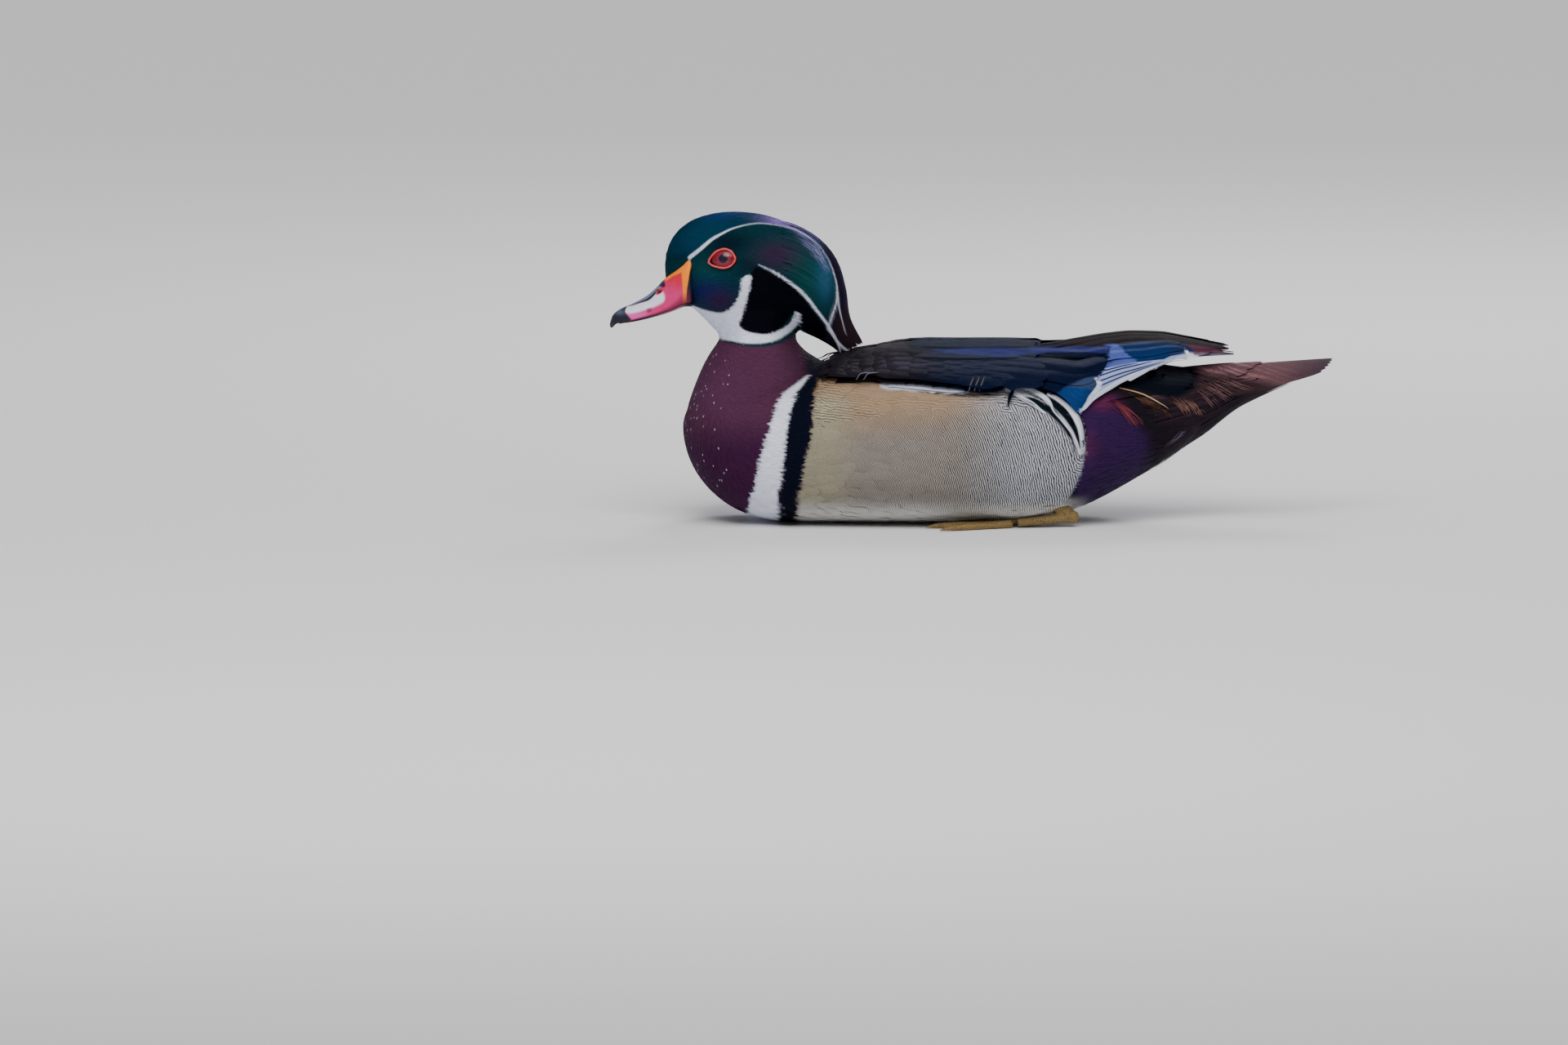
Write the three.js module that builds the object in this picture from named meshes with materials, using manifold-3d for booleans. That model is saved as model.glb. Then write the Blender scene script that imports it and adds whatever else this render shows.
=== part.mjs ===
// A drake wood duck, life size, afloat in pose but resting on its belly with its feet tucked under.
// Millimetres. The bill points to -X, the tail to +X, up is +Z, and the bird's left side faces -Y.
import * as THREE from "three";
import { mergeVertices } from "three/addons/utils/BufferGeometryUtils.js";
import Module from "manifold-3d";

const wasm = await Module();
wasm.setup();

// Driving dimensions
const bodyLength = 402; // bill tip to tail tip, neck drawn in
const billTipX = -bodyLength / 2;
const tailTipX = bodyLength / 2;
const breastX = billTipX + 39.5; // foremost point of the breast
const breastZ = 53; // its height above the floor
const bodyHalfWidth = 70;
const backHeight = 95;
const headCentre = new THREE.Vector3(-124, 0, 137);
const headHalfWidth = 20.5;
const eyeX = -137.7;
const eyeZ = 147.2;
const eyeRadius = 6.2;
const gap = 0.3; // clearance that neighbouring pieces keep
const featherThick = 0.55;

const breastEndX = -90; // cut behind the black and white breast bars
const flankEndX = 62; // cut behind the flank plumes
const rumpEndX = 118; // cut where the tail is rooted
const sides = { left: -1, right: 1 };

// Small mathematics
const clamp = THREE.MathUtils.clamp;
const lerp = THREE.MathUtils.lerp;
const range = (count) => Array.from({ length: count }, (_, i) => i);
const power = (value, exponent) => Math.sign(value) * Math.abs(value) ** exponent;

// A smooth curve through [place, value] knots that never overshoots them.
function profile(knots) {
  const steps = knots.slice(1).map(([x, y], i) => (y - knots[i][1]) / (x - knots[i][0]));
  const slopes = knots.map((_, i) => {
    const before = steps[Math.max(i - 1, 0)];
    const after = steps[Math.min(i, steps.length - 1)];
    return before * after <= 0 ? 0 : (2 * before * after) / (before + after);
  });
  return (x) => {
    const i = clamp(knots.findLastIndex((k) => k[0] <= x), 0, knots.length - 2);
    const width = knots[i + 1][0] - knots[i][0];
    const t = clamp((x - knots[i][0]) / width, 0, 1);
    const rise = knots[i + 1][1] - knots[i][1];
    const a = slopes[i] * width - rise;
    const b = rise - slopes[i + 1] * width;
    return knots[i][1] + rise * t + t * (1 - t) * (a * (1 - t) + b * t);
  };
}

// Solids
function solidOf(geometry) {
  const bare = geometry.index ? geometry.toNonIndexed() : geometry.clone();
  bare.deleteAttribute("normal");
  bare.deleteAttribute("uv");
  const merged = mergeVertices(bare, 1e-4);
  const triVerts = new Uint32Array(merged.index.array);
  const build = () => new wasm.Manifold(
    new wasm.Mesh({ numProp: 3, vertProperties: merged.attributes.position.array, triVerts }),
  );
  const made = build();
  if (made.volume() > 0) return made;
  for (let i = 0; i < triVerts.length; i += 3) {
    [triVerts[i + 1], triVerts[i + 2]] = [triVerts[i + 2], triVerts[i + 1]];
  }
  return build();
}

function geometryOf(solid) {
  const mesh = solid.getMesh();
  const points = new Float32Array(mesh.numVert * 3);
  for (const i of range(mesh.numVert)) {
    points.set(mesh.vertProperties.subarray(i * mesh.numProp, i * mesh.numProp + 3), i * 3);
  }
  return new THREE.BufferGeometry()
    .setAttribute("position", new THREE.BufferAttribute(points, 3))
    .setIndex(new THREE.BufferAttribute(mesh.triVerts, 1));
}

function geometryFrom(points, triangles) {
  return new THREE.BufferGeometry()
    .setAttribute("position", new THREE.Float32BufferAttribute(points.flatMap((p) => [p.x, p.y, p.z]), 3))
    .setIndex(triangles);
}

// The largest of the pieces that a cut leaves, with any sealed hollow filled.
function largest(solid) {
  return solid.decompose().sort((a, b) => b.volume() - a.volume())[0];
}

function joined(solids) {
  return solids.reduce((all, one) => all.add(one));
}

// A closed skin over rings of points, with a fan to a point at each end.
function skinned(rings, first, last) {
  const around = rings[0].length;
  const points = [...rings.flat(), first, last];
  const triangles = [];
  const at = (ring, i) => ring * around + (i % around);
  for (const ring of range(rings.length - 1)) {
    for (const i of range(around)) {
      triangles.push(at(ring, i), at(ring, i + 1), at(ring + 1, i + 1));
      triangles.push(at(ring, i), at(ring + 1, i + 1), at(ring + 1, i));
    }
  }
  const end = rings.length - 1;
  for (const i of range(around)) {
    triangles.push(points.length - 2, at(0, i + 1), at(0, i));
    triangles.push(points.length - 1, at(end, i), at(end, i + 1));
  }
  return solidOf(geometryFrom(points, triangles));
}

// A closed plate: place(i, j, face) gives the points of a grid of rows by columns, on the under face (0)
// and the upper one (1).
function plate(rows, columns, place) {
  const points = [0, 1].flatMap((face) => range(rows * columns).map(
    (n) => place(Math.floor(n / columns), n % columns, face),
  ));
  const at = (i, j, face) => face * rows * columns + i * columns + j;
  const triangles = [];
  const quad = (a, b, c, d) => triangles.push(a, b, c, a, c, d);
  for (const i of range(rows - 1)) {
    for (const j of range(columns - 1)) {
      quad(at(i, j, 1), at(i + 1, j, 1), at(i + 1, j + 1, 1), at(i, j + 1, 1));
      triangles.push(at(i, j, 0), at(i + 1, j + 1, 0), at(i + 1, j, 0));
      triangles.push(at(i, j, 0), at(i, j + 1, 0), at(i + 1, j + 1, 0));
    }
  }
  for (const i of range(rows - 1)) {
    const far = columns - 1;
    quad(at(i, 0, 0), at(i + 1, 0, 0), at(i + 1, 0, 1), at(i, 0, 1));
    quad(at(i, far, 1), at(i + 1, far, 1), at(i + 1, far, 0), at(i, far, 0));
  }
  for (const j of range(columns - 1)) {
    const far = rows - 1;
    quad(at(0, j, 1), at(0, j + 1, 1), at(0, j + 1, 0), at(0, j, 0));
    quad(at(far, j, 0), at(far, j + 1, 0), at(far, j + 1, 1), at(far, j, 1));
  }
  return solidOf(geometryFrom(points, triangles));
}

// A half space as a large block, for the thin cuts: everything with normal . p < distance.
function below(normal, distance) {
  const size = 900;
  const block = new THREE.BoxGeometry(size, size, size).translate(0, 0, -size / 2);
  const turn = new THREE.Quaternion().setFromUnitVectors(new THREE.Vector3(0, 0, 1), normal);
  block.applyQuaternion(turn);
  block.translate(normal.x * distance, normal.y * distance, normal.z * distance);
  return solidOf(block);
}

// A flat tapered feather along a path. place(s, lift) is the path's point at s, from root 0 to tip 1, raised
// by lift from the surface it lies on. Outward is across the feather, away from the back's middle; its outer
// edge is tilted up, so that it clears the next feather out.
function vane(place, side, { half, rise, tilt = 0.8, inner = 1, thick = featherThick }) {
  const stations = [[0, 0.7], [0.35, 1], [0.7, 1], [0.91, 0.66], [1, 0.14]];
  const shares = [-inner, 1];
  return plate(stations.length, shares.length, (i, j, face) => {
    const [s, breadth] = stations[i];
    const here = place(s, 0);
    const up = place(s, 1).sub(here).normalize();
    const along = place(Math.min(s + 0.02, 1), 0).sub(place(Math.max(s - 0.02, 0), 0)).normalize();
    const outward = along.clone().cross(up).multiplyScalar(-side);
    const width = (typeof half === "function" ? half(s) : half) * breadth;
    const edge = lerp(thick, 0.5 * thick, s ** 4);
    return here
      .addScaledVector(outward, width * shares[j])
      .addScaledVector(up, rise(s) + tilt * shares[j] * breadth * Math.min(1, s * 4) + face * edge);
  });
}

// Rises from a sunken root to its full lift over the first share of a feather's length.
const rising = (sunk, lift, by = 0.35) => (s) => lerp(sunk, lift, clamp(s / by, 0, 1));

// Torso: one loft from the breast to the tail's root
const torsoEndX = 146;
const backLine = profile([
  [-161, 78], [-140, 82], [-110, 86], [-85, 88.5], [-57, 92.5], [-28, backHeight],
  [10, backHeight], [40, 94.5], [62, 93], [90, 89], [118, 85], [torsoEndX, 84],
]);
const bellyLine = profile([
  [-161, 0], [-85, -0.6], [30, -0.6], [62, 8], [90, 22], [118, 40], [132, 52], [torsoEndX, 66],
]);
const widthLine = profile([
  [-161, 56], [-130, 57], [-110, 60], [-90, 64], [-60, 68], [-30, bodyHalfWidth], [0, bodyHalfWidth],
  [30, 67], [62, 58], [90, 43], [118, 29], [134, 21], [torsoEndX, 13],
]);
const widestLine = profile([
  [-161, breastZ], [-110, 47], [0, 45], [62, 50], [118, 63], [torsoEndX, 76],
]);
const nose = (x, length) => Math.sqrt(1 - (1 - clamp((x - breastX) / length, 0, 1)) ** 2);
const upperRound = 2.2;
const lowerRound = 2.5;

// The torso's section at x: half width, crown, keel and the height where it is widest.
function torsoSection(x) {
  const zWide = widestLine(x);
  return {
    width: widthLine(x) * nose(x, 46),
    up: (backLine(x) - zWide) * nose(x, 40),
    down: (zWide - bellyLine(x)) * nose(x, 60),
    zWide,
  };
}

// A point of a section: angle 0 is the back's middle, a quarter turn the side, half a turn the keel.
function sectionPoint(x, section, angle, grow = 0) {
  const { width, up, down, zWide } = section;
  const c = Math.cos(angle);
  const round = c > 0 ? upperRound : lowerRound;
  const y = (width + grow) * power(Math.sin(angle), 2 / round);
  const z = zWide + ((c > 0 ? up : down) + grow) * power(c, 2 / round);
  return new THREE.Vector3(x, y, z);
}

function torsoLoft(grow = 0, stations = 27, around = 28) {
  const reach = torsoEndX - breastX + grow;
  const rings = range(stations).map((i) => {
    const t = (i + 0.6) / (stations - 0.4);
    const x = breastX + reach * t ** 1.6;
    return range(around).map((k) => sectionPoint(x, torsoSection(x), (k / around) * 2 * Math.PI, grow));
  });
  const last = torsoSection(torsoEndX);
  return skinned(
    rings,
    new THREE.Vector3(breastX - grow, 0, breastZ),
    new THREE.Vector3(torsoEndX + grow, 0, last.zWide),
  );
}

// Neck: level sections, flared into the breast below
const neckFront = profile([
  [52, -159.6], [62, -159], [72, -156.2], [80.5, -153], [88.5, -149.4], [96, -145], [103, -140.5],
  [116, -138],
]);
const neckBack = profile([[52, -74], [80, -76], [88, -80], [92, -86], [96, -92], [103, -97], [116, -99]]);
const neckWidth = profile([
  [52, 54], [62, 51], [72, 44], [80.5, 36], [88.5, 28.5], [96, 23.5], [103, 21], [116, 20],
]);

function neckLoft(around = 24) {
  const heights = [52, 62, 69, 75, 80, 85, 89, 93, 97, 103, 110, 116];
  const ring = (z) => range(around).map((k) => {
    const angle = (k / around) * 2 * Math.PI;
    const middle = (neckFront(z) + neckBack(z)) / 2;
    const reach = (neckBack(z) - neckFront(z)) / 2;
    return new THREE.Vector3(middle + reach * Math.cos(angle), neckWidth(z) * Math.sin(angle), z);
  });
  const centre = (z) => new THREE.Vector3((neckFront(z) + neckBack(z)) / 2, 0, z);
  return skinned(heights.map(ring), centre(52), centre(116));
}

// Head: a side outline swollen to each side, fuller at the cheeks than at the forehead
const headOutline = new THREE.CatmullRomCurve3(
  [
    [-171.3, 134], [-171.9, 146], [-167, 159.5], [-156.5, 168.6], [-141, 173.2], [-124, 173.3],
    [-108, 170], [-96, 163], [-88, 152], [-84, 137], [-85, 121], [-91, 108.5], [-103, 100.5],
    [-116, 97.6], [-130, 98.8], [-141.5, 104], [-149.5, 112], [-157, 118.5], [-166, 125],
  ].map(([x, z]) => new THREE.Vector3(x, 0, z)),
  true,
);
const outlineTable = headOutline.getPoints(720).map((p) => {
  const d = p.clone().sub(headCentre);
  return { angle: Math.atan2(d.z, d.x), radius: d.length() };
}).sort((a, b) => a.angle - b.angle);

function headRadius(angle) {
  const turned = Math.atan2(Math.sin(angle), Math.cos(angle));
  const i = outlineTable.findIndex((o) => o.angle >= turned);
  const after = outlineTable[i < 0 ? 0 : i];
  const before = outlineTable[i <= 0 ? outlineTable.length - 1 : i - 1];
  return (after.radius + before.radius) / 2;
}

// How sharply the head narrows towards its outline: 0.5 is an ellipse, more is wedge-shaped.
function headTaper(angle) {
  const front = Math.max(0, -Math.cos(angle)) ** 2;
  const back = Math.max(0, Math.cos(angle)) ** 2;
  return 0.5 + 0.26 * front + 0.1 * back;
}

function headPoint(angle, share, side, grow = 0) {
  const radius = (headRadius(angle) + grow) * share;
  const y = (headHalfWidth + grow) * (1 - share ** 2) ** headTaper(angle) * side;
  const x = headCentre.x + radius * Math.cos(angle);
  return new THREE.Vector3(x, y, headCentre.z + radius * Math.sin(angle));
}

// The head's half width under a point of its side view.
function headSideAt(x, z) {
  const dx = x - headCentre.x;
  const dz = z - headCentre.z;
  const angle = Math.atan2(dz, dx);
  const share = Math.min(1, Math.hypot(dx, dz) / headRadius(angle));
  return headHalfWidth * (1 - share ** 2) ** headTaper(angle);
}

function headBall(grow = 0, around = 34, across = 13) {
  const rings = range(across).map((i) => {
    const turn = (-1 + (2 * (i + 1)) / (across + 1)) * (Math.PI / 2);
    const side = Math.sign(turn) || 1;
    return range(around).map((k) => headPoint((k / around) * 2 * Math.PI, Math.cos(turn), side, grow));
  });
  const pole = (side) => new THREE.Vector3(headCentre.x, side * (headHalfWidth + grow), headCentre.z);
  return skinned(rings, pole(-1), pole(1));
}

// Bill: the upper half is an arch over the mouth line, with a plate up each side of the face
const billRootX = -154;
const culmenLine = profile([
  [billTipX, 112.6], [-198.5, 115.9], [-193.2, 118.5], [-188.4, 121], [-180.2, 125.6],
  [-174.1, 131], [-171.4, 133.7], [-156.4, 145.3], [billRootX, 146.5],
]);
const mouthLine = profile([
  [billTipX, 107.3], [-196, 109.6], [-190, 111.8], [-180.2, 113.8], [-168, 117], [-158.7, 121.6],
  [billRootX, 123],
]);
const billWidth = profile([
  [billTipX, 1.6], [-198.5, 4], [-193, 6], [-185, 7.6], [-175, 8.8], [-165, 10.4], [-158, 12.6],
  [billRootX, 13.6],
]);
const billSquareness = profile([[billTipX, 2.1], [-180, 2.2], [-170, 3], [-160, 5], [billRootX, 6]]);

function upperBill(grow = 0) {
  const stations = [-200.3, -199, -197, -194, -190.5, -186, -181, -176, -171, -166, -161, -157.5, billRootX];
  const around = 14;
  const ring = (x) => range(around + 1).map((k) => {
    const angle = (k / around - 0.5) * Math.PI;
    const height = culmenLine(x) - mouthLine(x) + grow;
    const y = (billWidth(x) + grow) * power(Math.sin(angle), 2 / billSquareness(x));
    const z = mouthLine(x) - grow + (height + grow) * power(Math.cos(angle), 2 / billSquareness(x));
    return new THREE.Vector3(x, y, z);
  });
  const middle = (x) => new THREE.Vector3(x, 0, (culmenLine(x) + mouthLine(x)) / 2);
  return skinned(stations.map(ring), middle(billTipX - grow), middle(billRootX + grow));
}

function lowerBill(grow = 0) {
  const tipX = -195.5;
  const depth = profile([[tipX, 1], [-185, 2.6], [-170, 3.4], [billRootX, 5]]);
  const stations = [tipX, -193, -188, -182, -175, -168, -161, -157.5, billRootX];
  const around = 12;
  const top = (x) => mouthLine(x) - gap - 0.05 + grow;
  const ring = (x) => range(around + 1).map((k) => {
    const angle = (k / around - 0.5) * Math.PI;
    const y = (billWidth(x) - 1.2 + grow) * Math.sin(angle);
    return new THREE.Vector3(x, y, top(x) - (depth(x) + 2 * grow) * Math.cos(angle) ** 0.6);
  });
  const middle = (x, shift) => new THREE.Vector3(x + shift, 0, top(x) - depth(x) / 2);
  return skinned(stations.map(ring), middle(tipX, -0.6 - grow), middle(billRootX, grow));
}

function nostril(side) {
  const x = -173.4;
  const z = 126.2;
  const hole = new THREE.SphereGeometry(1, 10, 8).scale(2.4, 1.6, 1.1).rotateY(0.5);
  return solidOf(hole.translate(x, side * 8.2, z));
}

// Eyes, each in a ring of bare lid with a corner towards the bill
const eyeY = headSideAt(eyeX, eyeZ) - 4.7;

function eyeball(side, grow = 0) {
  const ball = new THREE.SphereGeometry(eyeRadius + grow, 16, 10).rotateX(Math.PI / 2);
  return solidOf(ball.translate(eyeX, side * eyeY, eyeZ));
}

function lidRing(side) {
  const around = 18;
  const thick = 1.15;
  const rings = range(around).map((i) => {
    const angle = (i / around) * 2 * Math.PI;
    const corner = 1 + 0.28 * Math.max(0, -Math.cos(angle + 0.25)) ** 6;
    const x = eyeX + 6.3 * Math.cos(angle) * corner;
    const z = eyeZ + 4.9 * Math.sin(angle) * (1 + 0.1 * (corner - 1));
    const out = new THREE.Vector3(Math.cos(angle), 0, Math.sin(angle) * 1.2).normalize();
    return range(5).map((k) => {
      const turn = (k / 5) * 2 * Math.PI;
      const y = headSideAt(x, z) + 0.3 + thick * Math.sin(turn);
      return new THREE.Vector3(x, side * y, z).addScaledVector(out, thick * Math.cos(turn));
    });
  });
  const points = rings.flat();
  const triangles = [];
  for (const i of range(around)) {
    for (const k of range(5)) {
      const at = (a, b) => (a % around) * 5 + (b % 5);
      triangles.push(at(i, k), at(i + 1, k), at(i + 1, k + 1), at(i, k), at(i + 1, k + 1), at(i, k + 1));
    }
  }
  return solidOf(geometryFrom(points, triangles));
}

// Mantle: the surface that the folded wing's feathers lie on, from the shoulder to the wing tip.
// Across it, 0 is the edge by the back's middle and 1 the lower edge.
const shoulderX = -80;
const wingTipX = 146;
const mantleTop = profile([
  [shoulderX, 90.6], [-57, 94.6], [-28, 97.6], [10, 97.6], [40, 97.4], [60, 99], [76, 101.5],
  [90, 102.8], [104, 102.5], [118, 100.4], [132, 98.2], [wingTipX, 96.2],
]);
const mantleWidth = profile([
  [-90, 67], [-60, 71], [-30, bodyHalfWidth + 3], [0, bodyHalfWidth + 3], [30, 70], [45, 65],
  [60, 57], [72, 48], [92, 35], [114, 24], [130, 17], [wingTipX, 11],
]);
const wingLowerEdge = profile([
  [shoulderX, 86], [-52, 84], [-4, 79], [16, 77], [42, 72], [60, 65.5], [71, 71.5], [92, 84],
  [114, 93], [130, 93.8], [wingTipX, 93.4],
]);
const mantleWidest = profile([
  [shoulderX, 46], [30, 46], [45, 55], [60, 64], [71, 71], [92, 83.6], [114, 92.8], [wingTipX, 93.2],
]);

function mantlePoint(x, across, side, lift) {
  const zWide = mantleWidest(x);
  const section = { width: mantleWidth(x), up: mantleTop(x) - zWide, down: 1, zWide };
  const share = clamp((wingLowerEdge(x) - section.zWide) / section.up, 0.001, 1);
  const lowest = Math.acos(share ** (upperRound / 2));
  const highest = Math.asin(clamp(6 / section.width, 0, 0.9) ** (upperRound / 2));
  const angle = lerp(highest, lowest, across);
  const p = sectionPoint(x, section, angle, lift);
  p.y *= side;
  return p;
}

// The breadth of the mantle from its upper edge to its lower, along its surface.
function mantleSpan(x) {
  const points = range(5).map((i) => mantlePoint(x, i / 4, 1, 0));
  return points.slice(1).reduce((sum, p, i) => sum + p.distanceTo(points[i]), 0);
}

// Each tier: how many feathers, then [x, first across, last across] of their roots, and of their tips
// [x, across] for the first and the last.
const wingFeathers = [
  { count: 4, from: [58, 0.12, 0.62], to: [[146, 0.1], [98, 0.66]], sunk: -3.8, lift: -3.2, tilt: 2.2 },
  { count: 3, from: [-14, 0.1, 0.46], to: [[111, 0.14], [80, 0.54]], sunk: -1.7, lift: 0.8, tilt: 1.6 },
  { count: 4, from: [-2, 0.58, 0.94], to: [[73, 0.7], [58, 0.96]], sunk: -1.7, lift: 0, tilt: 1.4 },
  { count: 5, from: [-70, 0.12, 0.8], to: [[42, 0.14], [-20, 0.74]], sunk: -1.7, lift: 3.7, tilt: 1.4 },
];
const overlap = 0.56; // half a feather's breadth as a share of the step to the next one

function wingVanes(side) {
  return wingFeathers.flatMap(({ count, from, to, sunk, lift, tilt }) => range(count).map((k) => {
    const share = k / (count - 1);
    const rootAcross = lerp(from[1], from[2], share);
    const tip = [lerp(to[0][0], to[1][0], share), lerp(to[0][1], to[1][1], share)];
    const xAt = (s) => lerp(from[0], tip[0], s);
    const place = (s, raised) => mantlePoint(xAt(s), lerp(rootAcross, tip[1], s), side, raised);
    const step = (s) => lerp(from[2] - from[1], to[1][1] - to[0][1], s) / (count - 1);
    const half = (s) => overlap * step(s) * mantleSpan(xAt(s));
    return vane(place, side, { half, rise: rising(sunk, lift), tilt });
  }));
}

// The point of the trunk's skin under a point beside it, kept clear of it by a margin.
function overTrunk(p, margin) {
  const section = torsoSection(p.x);
  const across = Math.abs(p.y / section.width) ** (upperRound / 2);
  const upward = Math.max(0, (p.z - section.zWide) / section.up) ** (upperRound / 2);
  return sectionPoint(p.x, section, Math.sign(p.y) * Math.atan2(across, upward), margin);
}

// The slab under the wing's feathers, from the shoulder half way to the feathers' tips.
function wingCore(side) {
  const rows = 12;
  const columns = 5;
  const start = shoulderX + 4;
  return plate(rows, columns, (i, j, face) => {
    const x = lerp(start, 66, i / (rows - 1));
    const fall = 1 + 2.4 * clamp((x - 50) / 16, 0, 1);
    const upper = mantlePoint(x, (0.93 * j) / (columns - 1), side, -fall);
    return face ? upper : overTrunk(upper, 0.8);
  });
}

// Crest: a flat, drooping horn of feathers from the nape to its tip above the back.
// Along it, 0 is the root and 1 the tip; across it, 0 is the upper edge and 1 the lower.
const curve = (points) => new THREE.CatmullRomCurve3(points.map(([x, z]) => new THREE.Vector3(x, 0, z)));
const crestUpper = curve([
  [-112, 170], [-97, 165.5], [-84, 157], [-74.5, 145], [-69.6, 129], [-66.6, 113], [-57.6, 99],
]);
const crestLower = curve([
  [-104, 110], [-98, 107], [-92, 104.5], [-86.5, 102], [-81.5, 99.4], [-77, 96.6], [-73.4, 93],
]);
const crestThick = profile([[0, 17], [0.3, 15.5], [0.55, 11.5], [0.8, 7], [1, 3.6]]);

function crestPoint(along, across, side, grow = 0) {
  const upper = crestUpper.getPoint(along);
  const lower = crestLower.getPoint(along);
  const p = upper.clone().lerp(lower, across);
  const down = lower.clone().sub(upper).normalize();
  const swell = Math.sqrt(Math.max(0, 1 - (2 * across - 1) ** 2));
  const edge = clamp((across - 0.5) * 2, -1, 1);
  p.y = side * (crestThick(along) + grow) * swell;
  return p.addScaledVector(down, grow * edge);
}

function crestCore(reach, steps = 7, around = 16) {
  const rings = range(steps).map((i) => {
    const along = (i / (steps - 1)) * reach;
    const shrink = 1 - 0.45 * Math.max(0, i / (steps - 1) - 0.5);
    return range(around).map((k) => {
      const angle = (k / around) * 2 * Math.PI;
      const p = crestPoint(along, (1 - Math.cos(angle)) / 2, Math.sin(angle) < 0 ? -1 : 1, -1.6);
      p.y *= shrink;
      return p;
    });
  });
  return skinned(rings, crestPoint(0, 0.5, 0), crestPoint(reach, 0.5, 0));
}

// Flat tapered locks down each side of the crest, each overlapping the one below it.
function crestLocks() {
  const perSide = 7;
  return Object.values(sides).flatMap((side) => range(perSide).map((k) => {
    const across = lerp(0.06, 0.9, k / (perSide - 1));
    const reach = lerp(1, 0.88, Math.abs(k - 1) / 5) - (side > 0 ? 0.02 : 0);
    const drop = (s) => lerp(across, lerp(across, 0.5, 0.35), s);
    const place = (s, raised) => {
      const along = lerp(0.16, reach, s);
      const p = crestPoint(along, clamp(drop(s), 0.02, 0.98), side);
      const flank = new THREE.Vector3(0, side, 0);
      const rim = crestUpper.getPoint(along).sub(crestLower.getPoint(along)).normalize();
      return p.addScaledVector(flank.addScaledVector(rim, 1 - 2 * drop(s)).normalize(), raised);
    };
    const half = (s) => lerp(5.6, 2.2, s);
    return vane(place, side, { half, rise: rising(-3, 0), tilt: -0.9, thick: 0.7 });
  }));
}

// Tail: feathers fan from the rump's end, the outer ones shorter and hung lower
const tailRootX = rumpEndX;

function tailPlace(along, across, lift) {
  const x = lerp(tailRootX - 4, tailTipX - 9 * Math.abs(across) ** 1.6, along);
  const spread = lerp(15, 24, along);
  const hang = lerp(17, 15, along);
  const ridge = lerp(83, 90.2, along ** 0.8);
  return new THREE.Vector3(x, across * spread, ridge - hang * Math.abs(across) ** 1.7 + lift);
}

function tailVanes() {
  const pairs = 6;
  const feathers = Object.values(sides).flatMap((side) => range(pairs).map((k) => {
    const across = (side * (k + 0.5)) / pairs;
    const lower = side > 0 ? 1.4 : 0;
    const place = (s, raised) => tailPlace(s, across, raised - lower);
    const half = (s) => (lerp(15, 24, s) / pairs) * 1.12;
    return vane(place, side, { half, rise: rising(-2.4, 0, 0.25), inner: k ? 1 : 0.55 });
  }));
  const upperCoverts = Object.values(sides).flatMap((side) => [0.16, 0.56].map((across, k) => {
    const lower = side > 0 ? 1.2 : 0;
    const reach = 0.5 - 0.12 * k;
    const place = (s, raised) => tailPlace(lerp(0.06, reach, s), side * across, raised + 2.6 - lower);
    return vane(place, side, { half: 4.6, rise: rising(-7, 0, 0.22), inner: k ? 1 : 0.5 });
  }));
  return [...feathers, ...upperCoverts];
}

// The long soft feathers under the tail, from the stub's lower side back to a point.
function underCoverts() {
  return [-2, -1, 0, 1, 2].map((k) => {
    const side = k < 0 ? -1 : 1;
    const angle = Math.PI + k * 0.5;
    const start = sectionPoint(tailRootX + 2, torsoSection(tailRootX + 2), angle, -3);
    const tip = new THREE.Vector3(172 - 9 * Math.abs(k), k * 3.4, 74.5 + 2.4 * Math.abs(k));
    const outward = new THREE.Vector3(-0.5, Math.sin(angle) * 0.9, Math.cos(angle)).normalize();
    const place = (s, raised) => start.clone().lerp(tip, s)
      .addScaledVector(outward, 5 * Math.sin(Math.PI * clamp(s, 0, 1)) + raised);
    return vane(place, -side, { half: 5.4, rise: () => 0, tilt: 0 });
  });
}

// Feet, tucked under the belly with the soles on the floor
const footBase = { x: 22, y: 43, z: 2.6 };
const ankle = { x: 56, y: 38, z: 5.6 };
const knee = { x: 40, y: 36, z: 17 };
const toes = [
  { name: "inner", turn: -20, length: 37, radius: 1.9 },
  { name: "middle", turn: 4, length: 48, radius: 2.2 },
  { name: "outer", turn: 27, length: 45, radius: 2 },
];

// A rod of changing radius through points, flattened where it meets the floor.
function rod(points, radii, around = 6) {
  const line = new THREE.CatmullRomCurve3(points);
  const steps = points.length * 2 - 1;
  const rings = range(steps).map((i) => {
    const t = i / (steps - 1);
    const centre = line.getPoint(t);
    const along = line.getTangent(t);
    const flat = new THREE.Vector3(-along.y, along.x, 0).normalize();
    const up = new THREE.Vector3().crossVectors(along, flat).normalize();
    const radius = lerp(radii[Math.floor(i / 2)], radii[Math.ceil(i / 2)], 0.5);
    return range(around).map((k) => {
      const angle = (k / around) * 2 * Math.PI;
      return centre.clone()
        .addScaledVector(flat, radius * Math.cos(angle))
        .addScaledVector(up, radius * Math.sin(angle));
    });
  });
  return skinned(rings, points[0], points[points.length - 1]);
}

function toeLine(toe, side) {
  const turn = THREE.MathUtils.degToRad(toe.turn);
  return (share, height) => new THREE.Vector3(
    footBase.x - toe.length * share * Math.cos(turn),
    side * (footBase.y + toe.length * share * Math.sin(turn)),
    height,
  );
}

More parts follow.
